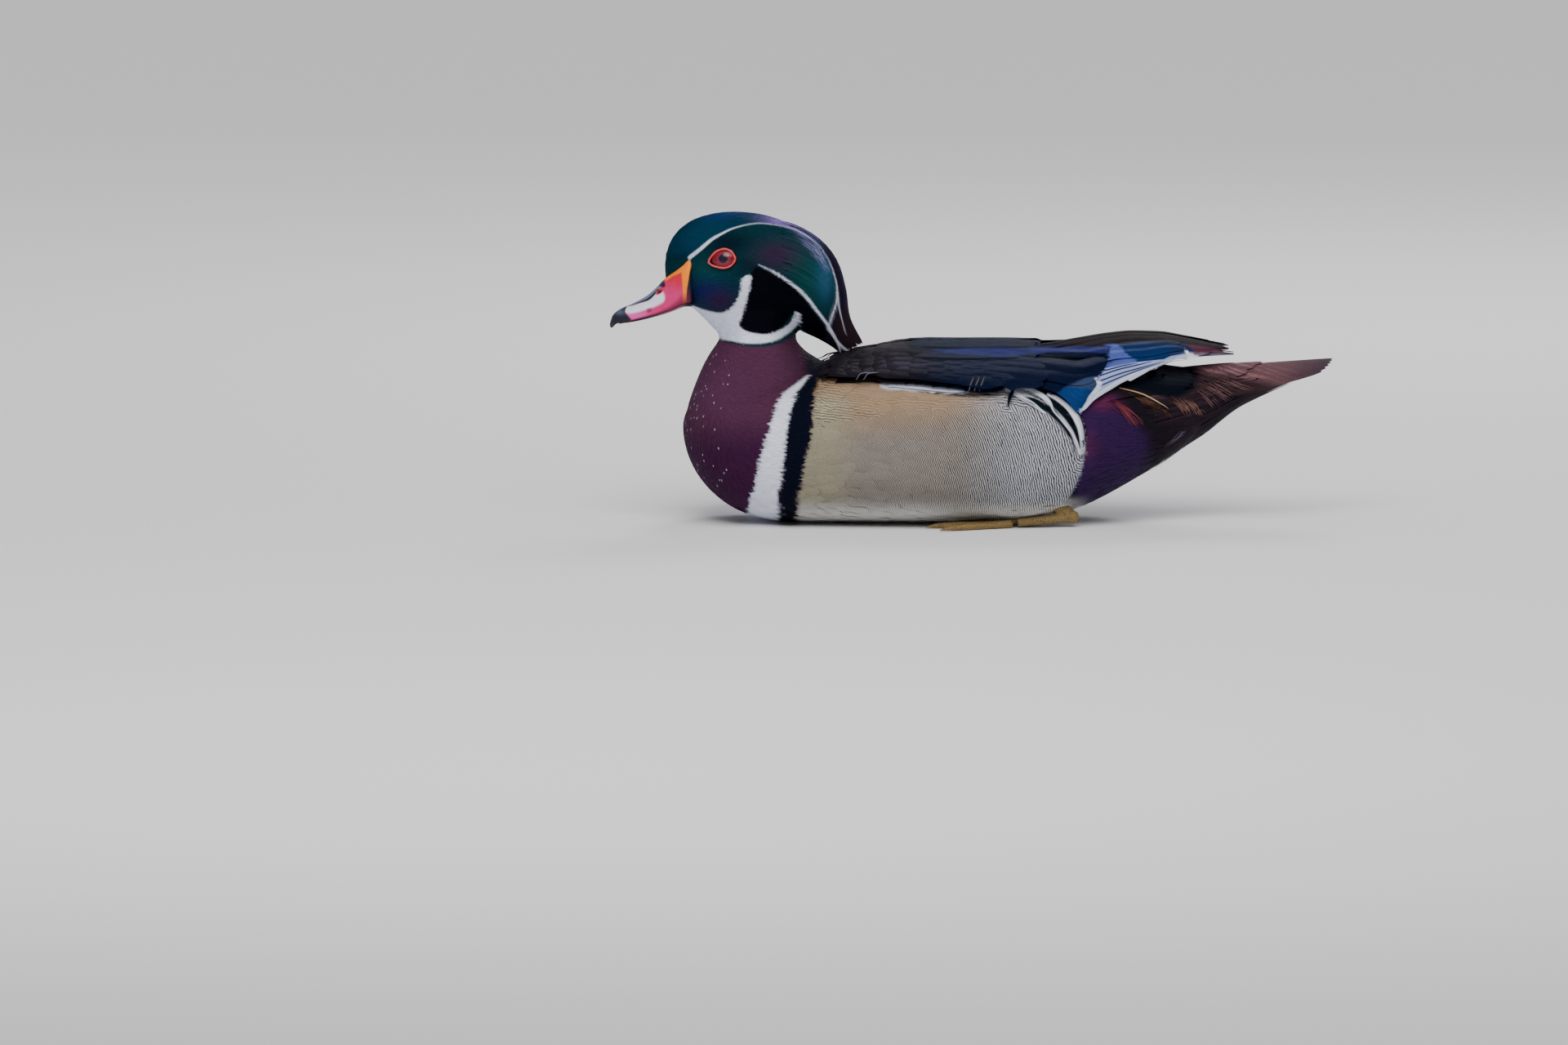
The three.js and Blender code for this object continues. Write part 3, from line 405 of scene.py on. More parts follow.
bodyMarks = {
    "maroon": tint(77, 42, 66), "maroonLow": tint(58, 24, 56), "hindneck": tint(62, 36, 54),
    "white": tint(224, 228, 244),
    "black": tint(9, 12, 28), "tan": tint(160, 135, 110), "grey": tint(152, 144, 138),
    "strawPale": tint(172, 166, 142), "rearPale": tint(182, 186, 196),
    "rump": tint(46, 25, 66), "maroonRump": tint(96, 34, 66), "dark": tint(26, 20, 28),
    "lobe": tint(10, 14, 24),
    "bellyWhite": tint(216, 214, 210),
    "lobeShape": [(78, 74), (92, 80), (106, 87), (119, 91), (124.5, 86), (125, 76), (120, 69.5), (111, 67.2),
                  (100, 70.5), (88, 73.5)],
    "whiteBar": [(-90.3, 80.5), (-98, 75), (-106.8, 68.2), (-110, 62), (-112.3, 54.1), (-118.2, 35),
                 (-122, 16), (-124, -4), (-108, -4), (-107.5, 16), (-105.5, 35), (-103.2, 54.1),
                 (-99.1, 68.2), (-94, 74.5)],
    "blackBar": [(-88.9, 80), (-94.5, 74), (-99.1, 68.2), (-103.2, 54.1), (-105.5, 35), (-107.5, 16),
                 (-108, -4), (-97, -4), (-96, 18), (-93.6, 33.2), (-89.9, 47.3), (-89, 64.5), (-84.5, 79)],
    "flankTop": [(-86, 79.2), (-67.7, 77.7), (-48.6, 75.5), (-22.3, 74.1), (-3.6, 71.4), (18.6, 72.7),
                 (30, 73), (41.8, 69.5)],
    "flankRear": [(41.8, 69.5), (50.5, 65.9), (56.8, 60.9), (61.2, 54.1), (62.6, 41.8), (60, 26), (52, 10),
                  (40, -4)],
    "wedge": [(-49.1, 74.5), (-36, 73.8), (-22.3, 72.6), (-12, 71.6), (-1.8, 70.9)],
    "wedgeWidth": [1.7, 2.0, 1.7, 1.3, 0.5],
    "crescents": [([(17.5, 72.4), (21, 71.9), (25, 69.8), (28.5, 67.6), (32.3, 65.8), (35.9, 63.2),
                    (40.5, 58.6)], [0.5, 1.3, 1.2, 0.6, 0.3, 0.25, 0.2]),
                  ([(22.3, 75.2), (27.7, 73.6), (35, 71), (40.5, 67.8), (43.4, 64.6), (45, 60.5),
                    (48.6, 56.4), (52.3, 51.8), (55.9, 47.3), (58.6, 41.8), (59.6, 36)],
                   [0.4, 1.1, 1.25, 1.1, 0.6, 0.3, 0.35, 0.35, 0.3, 0.25, 0.2]),
                  ([(42.3, 69.4), (46.8, 67.5), (52.3, 63.2), (55.9, 58.6), (58.1, 54.1), (59.6, 50),
                    (60.6, 44)], [0.6, 1.2, 1.3, 1.25, 1.0, 0.65, 0.3])],
}


def bodyColour(u, v, z):
    marks = bodyMarks
    colour = np.broadcast_to(marks["maroon"], u.shape + (3,)).copy()
    colour = layer(colour, tint(92, 52, 86), 0.4 * glow(u, v, (-142, 72), (20, 16)))
    colour = layer(colour, marks["maroonLow"], smooth(62, 36, v))
    colour = layer(colour, marks["hindneck"], smooth(-112, -92, u) * smooth(72, 82, v))
    rearward = smooth(-89, -87, u)
    back = np.broadcast_to(tint(16, 18, 28), u.shape + (3,))
    flankShape = np.vstack([curved(marks["flankTop"]), curved(marks["flankRear"])[1:], [(-97, -4)],
                            curved([(-96, 18), (-93.6, 33.2), (-89.9, 47.3), (-89, 64.5), (-86, 79.2)])])
    flank = patch(u, v, flankShape, 0.7, False)
    rump = np.broadcast_to(marks["dark"], u.shape + (3,))
    purple = [(54, 62), (66, 69), (76, 69.5), (82, 64), (88, 56.5), (94, 50), (98, 43), (96, 30), (84, 14),
              (54, 0)]
    rump = layer(rump, marks["rump"], patch(u, v, purple, 5))
    rump = layer(rump, marks["maroonRump"],
                 0.4 * glow(u, v, (62, 41), (8, 8)) + 0.75 * glow(u, v, (73, 65), (8, 4.5)))
    rump = layer(rump, tint(44, 30, 38), 0.8 * smooth(104, 130, u))
    rump = layer(rump, marks["lobe"], patch(u, v, marks["lobeShape"], 0.9))
    colour = layer(colour, back, np.maximum(rearward, smooth(79, 82, v) * smooth(-96, -88, u)))
    colour = layer(colour, rump, smooth(56, 60, u))
    side = mixed(marks["tan"], marks["grey"], smooth(74, 46, v + 0.12 * (20 - u))[..., None])
    side = layer(side, marks["strawPale"], 0.9 * smooth(-56, -84, u) * smooth(74, 62, v))
    side = layer(side, marks["rearPale"], smooth(-16, 34, u))
    colour = layer(colour, side, flank)
    colour = layer(colour, marks["bellyWhite"], smooth(20, 8, z) * smooth(-118, -100, u) * smooth(70, 50, u))
    colour = layer(colour, marks["black"], patch(u, v, marks["blackBar"], 0.8))
    colour = layer(colour, marks["white"], patch(u, v, marks["whiteBar"], 0.7))
    edge = stroke(u, v, [(26, 68), (34, 65.8), (44, 60), (50, 53), (55, 45), (57, 36)],
                  [0.3, 1.9, 2.2, 1.2, 0.8, 0.4])
    colour = layer(colour, tint(8, 18, 26), edge)
    outer = stroke(u, v, [(30, 73.4), (40, 69.6), (46, 64.6), (51, 59.8), (55, 54), (57.8, 48), (59.6, 40)],
                   [0.8, 1.8, 2.5, 2.5, 1.9, 1.2, 0.5])
    colour = layer(colour, tint(8, 16, 26), outer)
    rim = stroke(u, v, [(43, 71.2), (50.5, 68), (57.2, 62.2), (61.2, 55), (62.6, 47), (62.6, 40)],
                 [0.5, 0.9, 0.9, 0.8, 0.6, 0.4])
    colour = layer(colour, tint(6, 10, 18), rim)
    for path, widths in marks["crescents"]:
        colour = layer(colour, marks["white"], stroke(u, v, path, widths, 0.4))
    colour = layer(colour, tint(10, 26, 34), stroke(u, v, [(-30, 71.6), (-14, 70), (0, 69.2), (14, 69.6)],
                                                    [0.5, 1, 0.7, 0.4]))
    colour = layer(colour, marks["white"], stroke(u, v, marks["wedge"], marks["wedgeWidth"], 0.4))
    strength = 0.97 - 0.8 * np.clip(glow(u, v, (-52, 73), (34, 15)) + 0.75 * glow(u, v, (-8, 71), (26, 12)),
                                    0, 1)
    strength *= mixed(0.8, 1, smooth(-30, 10, u))
    barred = flank * strength * (1 - edge) * (1 - outer) * smooth(2, 16, z)
    return colour, barred


def waveCount(u, v, deep):  # the fine bars: along the flank's upper and rear edge, and in arcs down its side
    edge = curved([(-92, 84), (-60, 80), (-20, 76), (18, 75), (36, 71.4), (48, 66), (57, 58), (61, 48),
                   (61, 36)])
    nearest = np.full(u.shape, 1e9)
    for a, b in zip(edge[:-1], edge[1:]):
        nearest = np.minimum(nearest, toStretch(u, v, a, b)[0])
    reach = np.hypot(u + 143, v + 15)
    finer, coarser = 0.16, 0.0062
    arcs = np.log(finer + coarser * reach) / coarser
    return np.where(deep, arcs, nearest / 1.45)


def barDepth(u, v):  # how likely a spot of the flank has the steep bars of its lower side
    return smooth(70, 58, v + 0.10 * np.abs(u + 10)) * smooth(66, 48, u + 0.2 * v)


def coatMarks(p):  # colour and bar depth at points, for skin and feathers alike
    u, v = sideView(p)
    headPart = patch(u, v, headMarks["region"], 0.7)
    colour, barred = bodyColour(u, v, p[..., 2])
    return layer(colour, headColour(u, v), headPart), barred * (1 - headPart)


# Feathers: closed thin vanes joined into one mesh
def vaneMesh(name, batches, unwrap):
    blocks = {key: [] for key in ("co", "coat", "lie", "barring", "uv", "corners", "sizes")}
    base = 0
    for batch in batches:
        top, normal, thick = batch["top"], batch["normal"], batch["thick"]
        count, rows, columns = top.shape[:3]
        inner = columns - 2 if columns > 3 else 0
        under = (top - normal * thick[..., None])[:, :, 1:1 + inner][:, :, ::-1]
        ring = np.concatenate([top, under], 2)
        size = columns + inner
        columnOf = (np.concatenate([np.arange(columns), np.arange(inner, 0, -1)]) if inner
                    else np.arange(columns))
        spread = lambda values: np.concatenate([values, values[:, :, columnOf[columns:]]], 2)
        blocks["co"].append(ring.reshape(-1, 3))
        coat = np.concatenate([batch["colour"], batch["gloss"][..., None]], -1)
        blocks["coat"].append(spread(coat).reshape(-1, 4))
        blocks["lie"].append(spread(batch["lie"]).reshape(-1, 3))
        blocks["barring"].append(spread(batch["barring"]).reshape(-1))
        uAcross = columnOf / (columns - 1) - 0.5
        vAlong = np.arange(rows) / (rows - 1) - 0.5
        patchAt = np.stack(np.broadcast_arrays(uAcross[None], vAlong[:, None]), -1) * 0.003
        uv = unwrap(batch["root"])[:, None, None] + patchAt[None]
        i, k = np.meshgrid(np.arange(rows - 1), np.arange(size)[::-1], indexing="ij")
        k2 = (k + 1) % size
        quads = np.stack([i * size + k, i * size + k2, (i + 1) * size + k2, (i + 1) * size + k],
                         -1).reshape(-1, 4)
        start = base + np.arange(count)[:, None, None] * rows * size
        sheets = (start + quads[None]).reshape(-1)
        rootCap = (start[:, 0] + np.arange(size)[::-1][None]).reshape(-1)
        tipCap = (start[:, 0] + (rows - 1) * size + np.arange(size)[None]).reshape(-1)
        blocks["corners"] += [rootCap, tipCap, sheets]
        blocks["sizes"] += [np.full(count * 2, size), np.full(len(sheets) // 4, 4)]
        blocks["uv"].append(uv.reshape(-1, 2))
        base += ring.shape[0] * ring.shape[1] * ring.shape[2]
    joined = {key: np.concatenate(parts) for key, parts in blocks.items() if key != "corners"}
    corners = np.concatenate(blocks["corners"])
    sizes = joined["sizes"]
    mesh = bpy.data.meshes.new(name)
    mesh.vertices.add(len(joined["co"]))
    mesh.vertices.foreach_set("co", (joined["co"] * metre).astype(np.float32).ravel())
    mesh.loops.add(len(corners))
    mesh.loops.foreach_set("vertex_index", corners.astype(np.int32))
    mesh.polygons.add(len(sizes))
    mesh.polygons.foreach_set("loop_start", (np.cumsum(sizes) - sizes).astype(np.int32))
    mesh.update(calc_edges=True)
    mesh.validate()
    paint(mesh, coat=joined["coat"], lie=joined["lie"], barring=joined["barring"])
    bakeMap = mesh.uv_layers.new(name="OFBake")
    loopVertex = np.empty(len(mesh.loops), np.int32)
    mesh.loops.foreach_get("vertex_index", loopVertex)
    bakeMap.data.foreach_set("uv", joined["uv"][loopVertex].astype(np.float32).ravel())
    shadeSmooth(mesh, 70)
    thing = bpy.data.objects.new(name, mesh)
    bpy.context.scene.collection.objects.link(thing)
    print(f"  {name}: {sum(b['top'].shape[0] for b in batches)} feathers, {len(mesh.polygons)} faces")
    return thing


def featherShape(s, root=0.35, widest=0.55, tipPower=2.0):  # breadth along a feather, 1 at its widest
    grow = mixed(root, 1, smooth(0, 0.4, s))
    t = np.clip((s - widest) / (1 - widest), 0, 1)
    return grow * np.maximum(1 - t ** tipPower, 0) ** (1 / min(tipPower, 2.0)) * 0.97 + 0.03


def shiftedRows(rows):
    return 1 - (1 - np.linspace(0, 1, rows)) ** 1.35


def snapped(bed, points):  # the nearest points of a surface, and its normals there
    flat = points.reshape(-1, 3) * metre
    found, turned = np.empty_like(flat), np.empty_like(flat)
    for n, p in enumerate(flat):
        location, normal, _, _ = bed.find_nearest(p)
        found[n], turned[n] = location, normal
    return found.reshape(points.shape) / metre, turned.reshape(points.shape)


def thinned(points, spacing):  # a seeded choice of points that keeps each its own distance from the others
    tree = kdtree.KDTree(len(points))
    for n, p in enumerate(points):
        tree.insert(p, n)
    tree.balance()
    kept, taken = [], np.zeros(len(points), bool)
    for n, p in enumerate(points):
        if not taken[n]:
            kept.append(n)
            for _, other, _ in tree.find_range(p, spacing[n]):
                taken[other] = True
    return np.array(kept)


def scattered(mesh, keep, spacingAt, tries):
    mesh.calc_loop_triangles()
    corners = np.empty(len(mesh.loop_triangles) * 3, np.int32)
    mesh.loop_triangles.foreach_get("vertices", corners)
    triangles = vertexArray(mesh)[corners.reshape(-1, 3)] / metre
    edgeA, edgeB = triangles[:, 1] - triangles[:, 0], triangles[:, 2] - triangles[:, 0]
    area = np.linalg.norm(np.cross(edgeA, edgeB), axis=1) / 2
    area *= keep(triangles.mean(1)) / spacingAt(triangles.mean(1)) ** 2
    pick = rng.choice(len(area), int(area.sum() * tries), p=area / area.sum())
    a, b = rng.random((2, len(pick), 1))
    flip = a + b > 1
    a, b = np.where(flip, 1 - a, a), np.where(flip, 1 - b, b)
    points = triangles[pick, 0] + edgeA[pick] * a + edgeB[pick] * b
    return points[thinned(points, spacingAt(points))]


def coatBatch(bed, roots, lie, length, half, rows, columns, lift, thick=0.07, jitter=0.14, gloss=0.4,
              sample=0.55, tipPower=2.0):
    count = len(roots)
    _, normal = snapped(bed, roots)
    flow = unit(lie - normal * (lie * normal).sum(-1, keepdims=True))
    across = np.cross(flow, normal)
    turn = rng.normal(0, jitter, (count, 1))
    flow, across = flow * np.cos(turn) + across * np.sin(turn), across * np.cos(turn) - flow * np.sin(turn)
    length = length * rng.uniform(0.82, 1.15, count)
    half = half * rng.uniform(0.88, 1.1, count)
    s, c = shiftedRows(rows), np.linspace(-1, 1, columns)
    breadth = featherShape(s, tipPower=tipPower)
    alongMm = s[None] * length[:, None]
    acrossMm = half[:, None, None] * breadth[None, :, None] * c[None, None]
    points = (roots[:, None, None] + flow[:, None, None] * alongMm[:, :, None, None]
              + across[:, None, None] * acrossMm[..., None])
    points = points - flow[:, None, None] * (
        np.abs(c)[None, None] ** 2 * half[:, None, None] * 0.35 * s[None, :, None])[..., None]
    landed, turned = snapped(bed, points)
    crown = 0.06 * (1 - c ** 2)[None, None] * half[:, None, None]
    ragged = rng.uniform(0.8, 1.2, (count, 1, 1)) * lift
    raised = mixed(-0.35, 1.0, smooth(0, 0.75, s))[None, :, None] * ragged + crown
    top = landed + turned * raised[..., None]
    place = mixed(roots[:, None, None], top, sample)
    colour, barred = coatMarks(place)
    tone = rng.normal(1, 0.035, (count, 1, 1, 1))
    u, v = sideView(top)
    rootU, rootV = sideView(roots)
    deep = (rng.random(count) < barDepth(rootU, rootV))[:, None, None]
    phase = waveCount(u, v, deep) + rng.uniform(-0.2, 0.2, (count, 1, 1))
    lieField = np.stack(np.broadcast_arrays(acrossMm, alongMm[:, :, None] + 0 * acrossMm, phase), -1)
    edge = mixed(thick, thick * 0.4, s)[None, :, None] + np.zeros(top.shape[:3])
    return {"top": top, "normal": turned, "thick": edge, "root": roots,
            "colour": np.clip(colour * tone, 0, 1), "gloss": np.full(top.shape[:3], gloss), "lie": lieField,
            "barring": barred}


def coatFlow(p):  # the way feathers lie
    x, z = p[:, 0] - head["centre"][0], p[:, 2] - head["centre"][2]
    reach = np.maximum(np.hypot(x, z), 1)
    overCrown = np.stack([z / reach, 0 * x, -x / reach], -1)
    cheek = np.broadcast_to([0.93, 0, -0.3], overCrown.shape)
    onHead = mixed(cheek, overCrown, smooth(-14, 14, z + 0.15 * x)[:, None])
    down = np.broadcast_to([0.22, 0, -1.0], overCrown.shape)
    back = np.stack([np.ones_like(x), 0 * x, np.where(p[:, 2] > 50, -0.10, 0.02)], -1)
    onBody = mixed(down, back, smooth(-152, -112, p[:, 0])[:, None])
    return unit(mixed(onBody, onHead, smooth(96, 106, p[:, 2])[:, None]))


def headUnwrap(roots):  # each half of the head flattened from its own middle, side by side
    d = unit(roots - head["centre"])
    flat = np.sqrt(2 / (1 + np.abs(d[:, 1]))) / math.sqrt(2)
    side = np.where(d[:, 1] < 0, 0.25, 0.75)
    return np.stack([side + d[:, 0] * flat * 0.23, 0.5 + d[:, 2] * flat * 0.46], -1)


def bodyUnwrap(roots):  # rolled out round the bird's length
    angle = np.arctan2(roots[:, 1], roots[:, 2] - 48) / (2 * math.pi)
    return np.stack([0.02 + 0.96 * (roots[:, 0] + 165) / 320, 0.5 + 0.97 * angle], -1)


eye = {"x": -137.7, "z": 147.8, "wide": 7.6, "high": 5.6, "deep": 3.2, "sunk": 1.9, "lidThick": 0.62,
       "irisReach": 7.4, "opening": (7.0, 4.7),
       "lids": [(-146.4, 143.2), (-144.6, 146.6), (-141.2, 149.6), (-137.0, 150.7), (-133.4, 149.5),
                (-131.2, 146.6), (-130.9, 144.6), (-132.0, 142.4), (-134.2, 140.6), (-137.6, 139.7),
                (-141.8, 140.3), (-145.2, 141.6)]}

coat = {
    "crown": {"spacing": 0.95, "length": 4.4, "half": 0.58, "rows": 4, "columns": 3, "lift": 0.14},
    "cheek": {"spacing": 0.95, "length": 4.2, "half": 0.58, "rows": 4, "columns": 3, "lift": 0.13},
    "neck": {"spacing": 1.4, "length": 6.0, "half": 0.8, "rows": 4, "columns": 3, "lift": 0.12},
    "breast": {"spacing": 1.7, "length": 7.5, "half": 0.95, "rows": 4, "columns": 3, "lift": 0.14},
    "flank": {"spacing": 4.4, "length": 15, "half": 3.6, "rows": 9, "columns": 5, "lift": 0.22},
    "belly": {"spacing": 4.6, "length": 14, "half": 3.2, "rows": 5, "columns": 3, "lift": 0.4},
    "rump": {"spacing": 2.1, "length": 13, "half": 0.8, "rows": 6, "columns": 3, "lift": 0.22},
    "back": {"spacing": 4.6, "length": 12, "half": 3.2, "rows": 5, "columns": 3, "lift": 0.5},
}


billRoot = [(-173.5, 131), (-171.8, 133.2), (-165.7, 136.4), (-157.6, 144.6), (-155.8, 143), (-156.8, 137.5),
            (-158, 129.5), (-158.8, 124.4), (-158.4, 119), (-176, 110)]


def bareAround(p):  # where no feathers grow: eyes and bill
    nearEye = patch(*sideView(p), eye["lids"], 0.5) > 0.5
    atBill = patch(*sideView(p), billRoot, 0.5, False) > 0.5
    return nearEye | atBill


def regionOf(p):
    u, v = sideView(p)
    x, z = p[:, 0], p[:, 2]
    region = np.full(len(p), "back", dtype="<U8")
    region[(v < 84) | (x > 60)] = "flank"
    region[(z < 14) & (x > -120)] = "belly"
    region[(x > 56)] = "rump"
    region[(x < -88) & (v > 16)] = "breast"
    region[(x < -84) & (z > 74)] = "neck"
    onHead = (x < -60) & (patch(u, v, headMarks["region"], 0.7) > 0.5)
    region[onHead] = "cheek"
    region[onHead & (z > 146)] = "crown"
    return region


def growCoat(skin):
    bed = BVHTree.FromPolygons([v.co for v in skin.data.vertices], [p.vertices for p in skin.data.polygons])
    made = {}
    for name, look in coat.items():
        keep = lambda p, name=name: (regionOf(p) == name) & ~bareAround(p)
        onHead = name in ("crown", "cheek")
        nearest = 0.8 if onHead else 1.0  # the smallest feathers are round the bill
        closer = lambda p: look["spacing"] * mixed(nearest, 1, smooth(6, 22, np.abs(p[:, 0] + 166)))
        roots = scattered(skin.data, keep, closer, 7)
        size = closer(roots) / look["spacing"]
        plain = name in ("flank", "belly")
        batch = coatBatch(bed, roots, coatFlow(roots), look["length"] * size, look["half"] * size,
                          look["rows"], look["columns"], look["lift"], jitter=0.06 if plain else 0.1,
                          sample=0.7 if name == "breast" else 1.0,
                          gloss={"crown": 0.85, "cheek": 0.85, "neck": 0.45, "breast": 0.35,
                                 "rump": 0.5}.get(name, 0.1))
        if name in ("neck", "breast"):
            speckled(batch)
        made[name] = vaneMesh(name + "Feathers", [batch], headUnwrap if onHead else bodyUnwrap)
    return made, bed


def speckled(batch):  # small white arrowheads at the tips of some feathers at the breast's front
    u, v = sideView(batch["top"][:, -1, 1])
    likely = 0.06 * smooth(-128, -142, u) * smooth(96, 84, v) + 0.05 * smooth(-146, -156, u)
    chosen = rng.random(len(u)) < likely
    batch["colour"][chosen, -1] = tint(236, 224, 236)


# Vanes laid on a surface that has its own two directions
# a vane's height along itself: sunk at the root, lifted after a share of its length
def lifting(sunk, lift, by=0.35):
    return lambda s: mixed(sunk, lift, smooth(0, by, s))


def coatTone(top, s, c, n):  # the coat's own colours, for vanes that take them as they are
    return coatMarks(top)[0]


def laidVanes(place, paths, half, rows, columns, lifts, colourAt, thick=0.35, root=0.5, widest=0.6,
              tipPower=2.2, tilt=0.0, gloss=0.5, crown=0.12):
    tops, normals, colours, lies, glosses, thicks, barrings, roots = [], [], [], [], [], [], [], []
    s, c = shiftedRows(rows), np.linspace(-1, 1, columns)
    step = 0.004
    for n, path in enumerate(paths):
        uv = spline(path)(s)
        pathU, pathV = uv[:, 0], uv[:, 1]
        here = place(pathU, pathV, 0)
        byU = (place(pathU + step, pathV, 0) - here) / step
        byV = (place(pathU, pathV + step, 0) - here) / step
        normal = unit(np.cross(byU, byV))
        normal *= np.where((normal * (place(pathU, pathV, 1.0) - here)).sum(-1, keepdims=True) < 0, -1, 1)
        flow = unit(np.gradient(here, axis=0))
        across = np.cross(flow, normal)
        uu, uv2, vv = (byU * byU).sum(-1), (byU * byV).sum(-1), (byV * byV).sum(-1)
        au, av = (across * byU).sum(-1), (across * byV).sum(-1)
        det = np.maximum(uu * vv - uv2 ** 2, 1e-9)
        du, dv = (au * vv - av * uv2) / det, (av * uu - au * uv2) / det
        wide = (half[n] if np.ndim(half) else half)
        breadth = wide * featherShape(s, root, widest, tipPower)
        offset = breadth[:, None] * c[None]
        lift = lifts[n] if isinstance(lifts, list) else lifts
        raised = (lift(s)[:, None] + tilt * c[None] * np.minimum(1, s * 4)[:, None]
                  + crown * breadth[:, None] * (1 - c ** 2))
        bent = place(pathU[:, None] + offset * du[:, None], pathV[:, None] + offset * dv[:, None], 0)
        top = bent + normal[:, None] * raised[..., None]
        length = np.linalg.norm(np.diff(here, axis=0), axis=1).sum()
        along = s[:, None] * length + 0 * offset
        tops.append(top)
        normals.append(np.broadcast_to(normal[:, None], top.shape))
        colours.append(colourAt(top, s[:, None] + 0 * offset, c[None] + 0 * offset, n))
        lies.append(np.stack([offset, along, np.zeros_like(along)], -1))
        glosses.append(np.full(along.shape, gloss))
        thicks.append(np.broadcast_to(mixed(thick, thick * 0.4, s)[:, None], along.shape))
        barrings.append(np.zeros_like(along))
        roots.append(here[0])
    return {"top": np.array(tops), "normal": np.array(normals), "thick": np.array(thicks),
            "root": np.array(roots), "colour": np.clip(np.array(colours), 0, 1), "gloss": np.array(glosses),
            "lie": np.array(lies), "barring": np.array(barrings)}


def makeCrest():
    batches = []
    for side in sides.values():
        count = crest["strandsPerSide"]
        across = np.clip(np.linspace(0.01, 0.99, count) + rng.normal(0, 0.012, count), 0.0, 1.0)
        start = rng.uniform(0.0, 0.34, count)
        reach = rng.uniform(0.9, 1.0, count)
        paths = []
        for a, first, last in zip(across, start, np.clip(reach, 0, 1)):
            ends = mixed(a, 0.5, 0.06 * rng.random())
            paths.append([(first, a), (mixed(first, last, 0.5), mixed(a, ends, 0.5)), (last, ends)])
        place = lambda along, v, lift, side=side: crestPoint(np.clip(along, 0, 1), np.clip(v, 0.0, 1.0),
                                                             side, lift)
        colourAt = lambda top, s, c, n: coatMarks(top)[0] * rng.normal(1, 0.06)
        batches.append(laidVanes(place, paths, crest["strandHalf"], 20, 3, lifting(-0.7, 0.1, 0.35), colourAt,
                                 0.12, 0.6, 0.7, 1.8, gloss=0.9, crown=0.05))
    return vaneMesh("crestFeathers", batches, headUnwrap)


# Folded wings: vanes on the mantle, from the shoulder back to the wing tip
mantle = {
    "start": -90, "end": 152,
    "top": profile((-80, 90.6), (-57, 94.6), (-28, 97.6), (10, 97.6), (40, 97.4), (60, 99), (76, 101.5),
                   (90, 102.8), (104, 102.5), (118, 100.4), (132, 98.2), (146, 96.2)),
    "width": profile((-90, 67), (-60, 71), (-30, 73), (0, 73), (30, 70), (45, 65), (60, 57), (72, 48),
                     (92, 35), (114, 24), (130, 17), (146, 11)),
    "lower": profile((-80, 86), (-52, 84), (-4, 79), (16, 77), (42, 72), (60, 65.5), (71, 71.5), (92, 84),
                     (114, 93), (130, 93.8), (146, 93.4)),
    "widest": profile((-80, 46), (30, 46), (45, 55), (60, 64), (71, 71), (92, 83.6), (114, 92.8),
                      (146, 93.2)),
}


def mantleX(u):
    return mixed(mantle["start"], mantle["end"], u)


def mantleU(x):
    return (x - mantle["start"]) / (mantle["end"] - mantle["start"])


def mantlePoint(u, across, side, lift=0):
    x = mantleX(u)
    width, middle = mantle["width"](x), mantle["widest"](x)
    up = mantle["top"](x) - middle
    share = np.clip((mantle["lower"](x) - middle) / up, 0.001, 1)
    lowest = np.arccos(share ** (trunk["upperRound"] / 2))
    highest = np.arcsin(np.clip(6 / width, 0, 0.9) ** (trunk["upperRound"] / 2))
    angle = mixed(highest, lowest, across)
    p = crossSection(x, angle, width, up, 1.0, middle, lift)
    p[..., 1] *= side
    return p


def acrossAt(x, up):  # where on the mantle a height in the side view lies
    trial = np.linspace(-0.1, 1.3, 141)
    heights = sideView(mantlePoint(mantleU(np.full(141, float(x))), trial, 1))[1]
    return float(np.interp(-up, -heights, trial))


wing = {
    "navy": tint(8, 17, 42), "violetBand": tint(34, 39, 96), "deepBlue": tint(19, 27, 88),
    "black": tint(10, 12, 22),
    "warmBlack": tint(26, 20, 26), "greyBrown": tint(64, 56, 64), "slate": tint(17, 25, 44),
    "brown": tint(28, 20, 22),
    "maroon": tint(84, 46, 64), "violet": tint(74, 90, 162), "steel": tint(14, 44, 88),
    "silver": tint(158, 168, 216),
    "white": tint(210, 218, 238), "spot": tint(244, 244, 250), "paleStrip": tint(112, 96, 116),
    "line": tint(24, 36, 82),
    "speculum": tint(16, 52, 104), "sliver": tint(50, 64, 96),
    # the folded wing's lower edge in the side view
    "edge": profile((-88, 80), (-78, 78.2), (-63, 77.7), (-55, 78.4), (-47.7, 76.4), (-31.4, 75.7),
                    (-19.5, 74.1), (-8.6, 73.2), (-3, 71.8), (5, 70.5), (14, 71), (22.3, 75.8), (30, 75.2),
                    (40, 72.6), (46, 70.6), (52, 66.4), (59.5, 59.4), (66.8, 66.2), (77.7, 72.6),
                    (86.8, 78.2), (95.9, 82.6), (105, 85.8), (116.8, 88), (122, 89.8), (138, 91), (148, 93)),
}
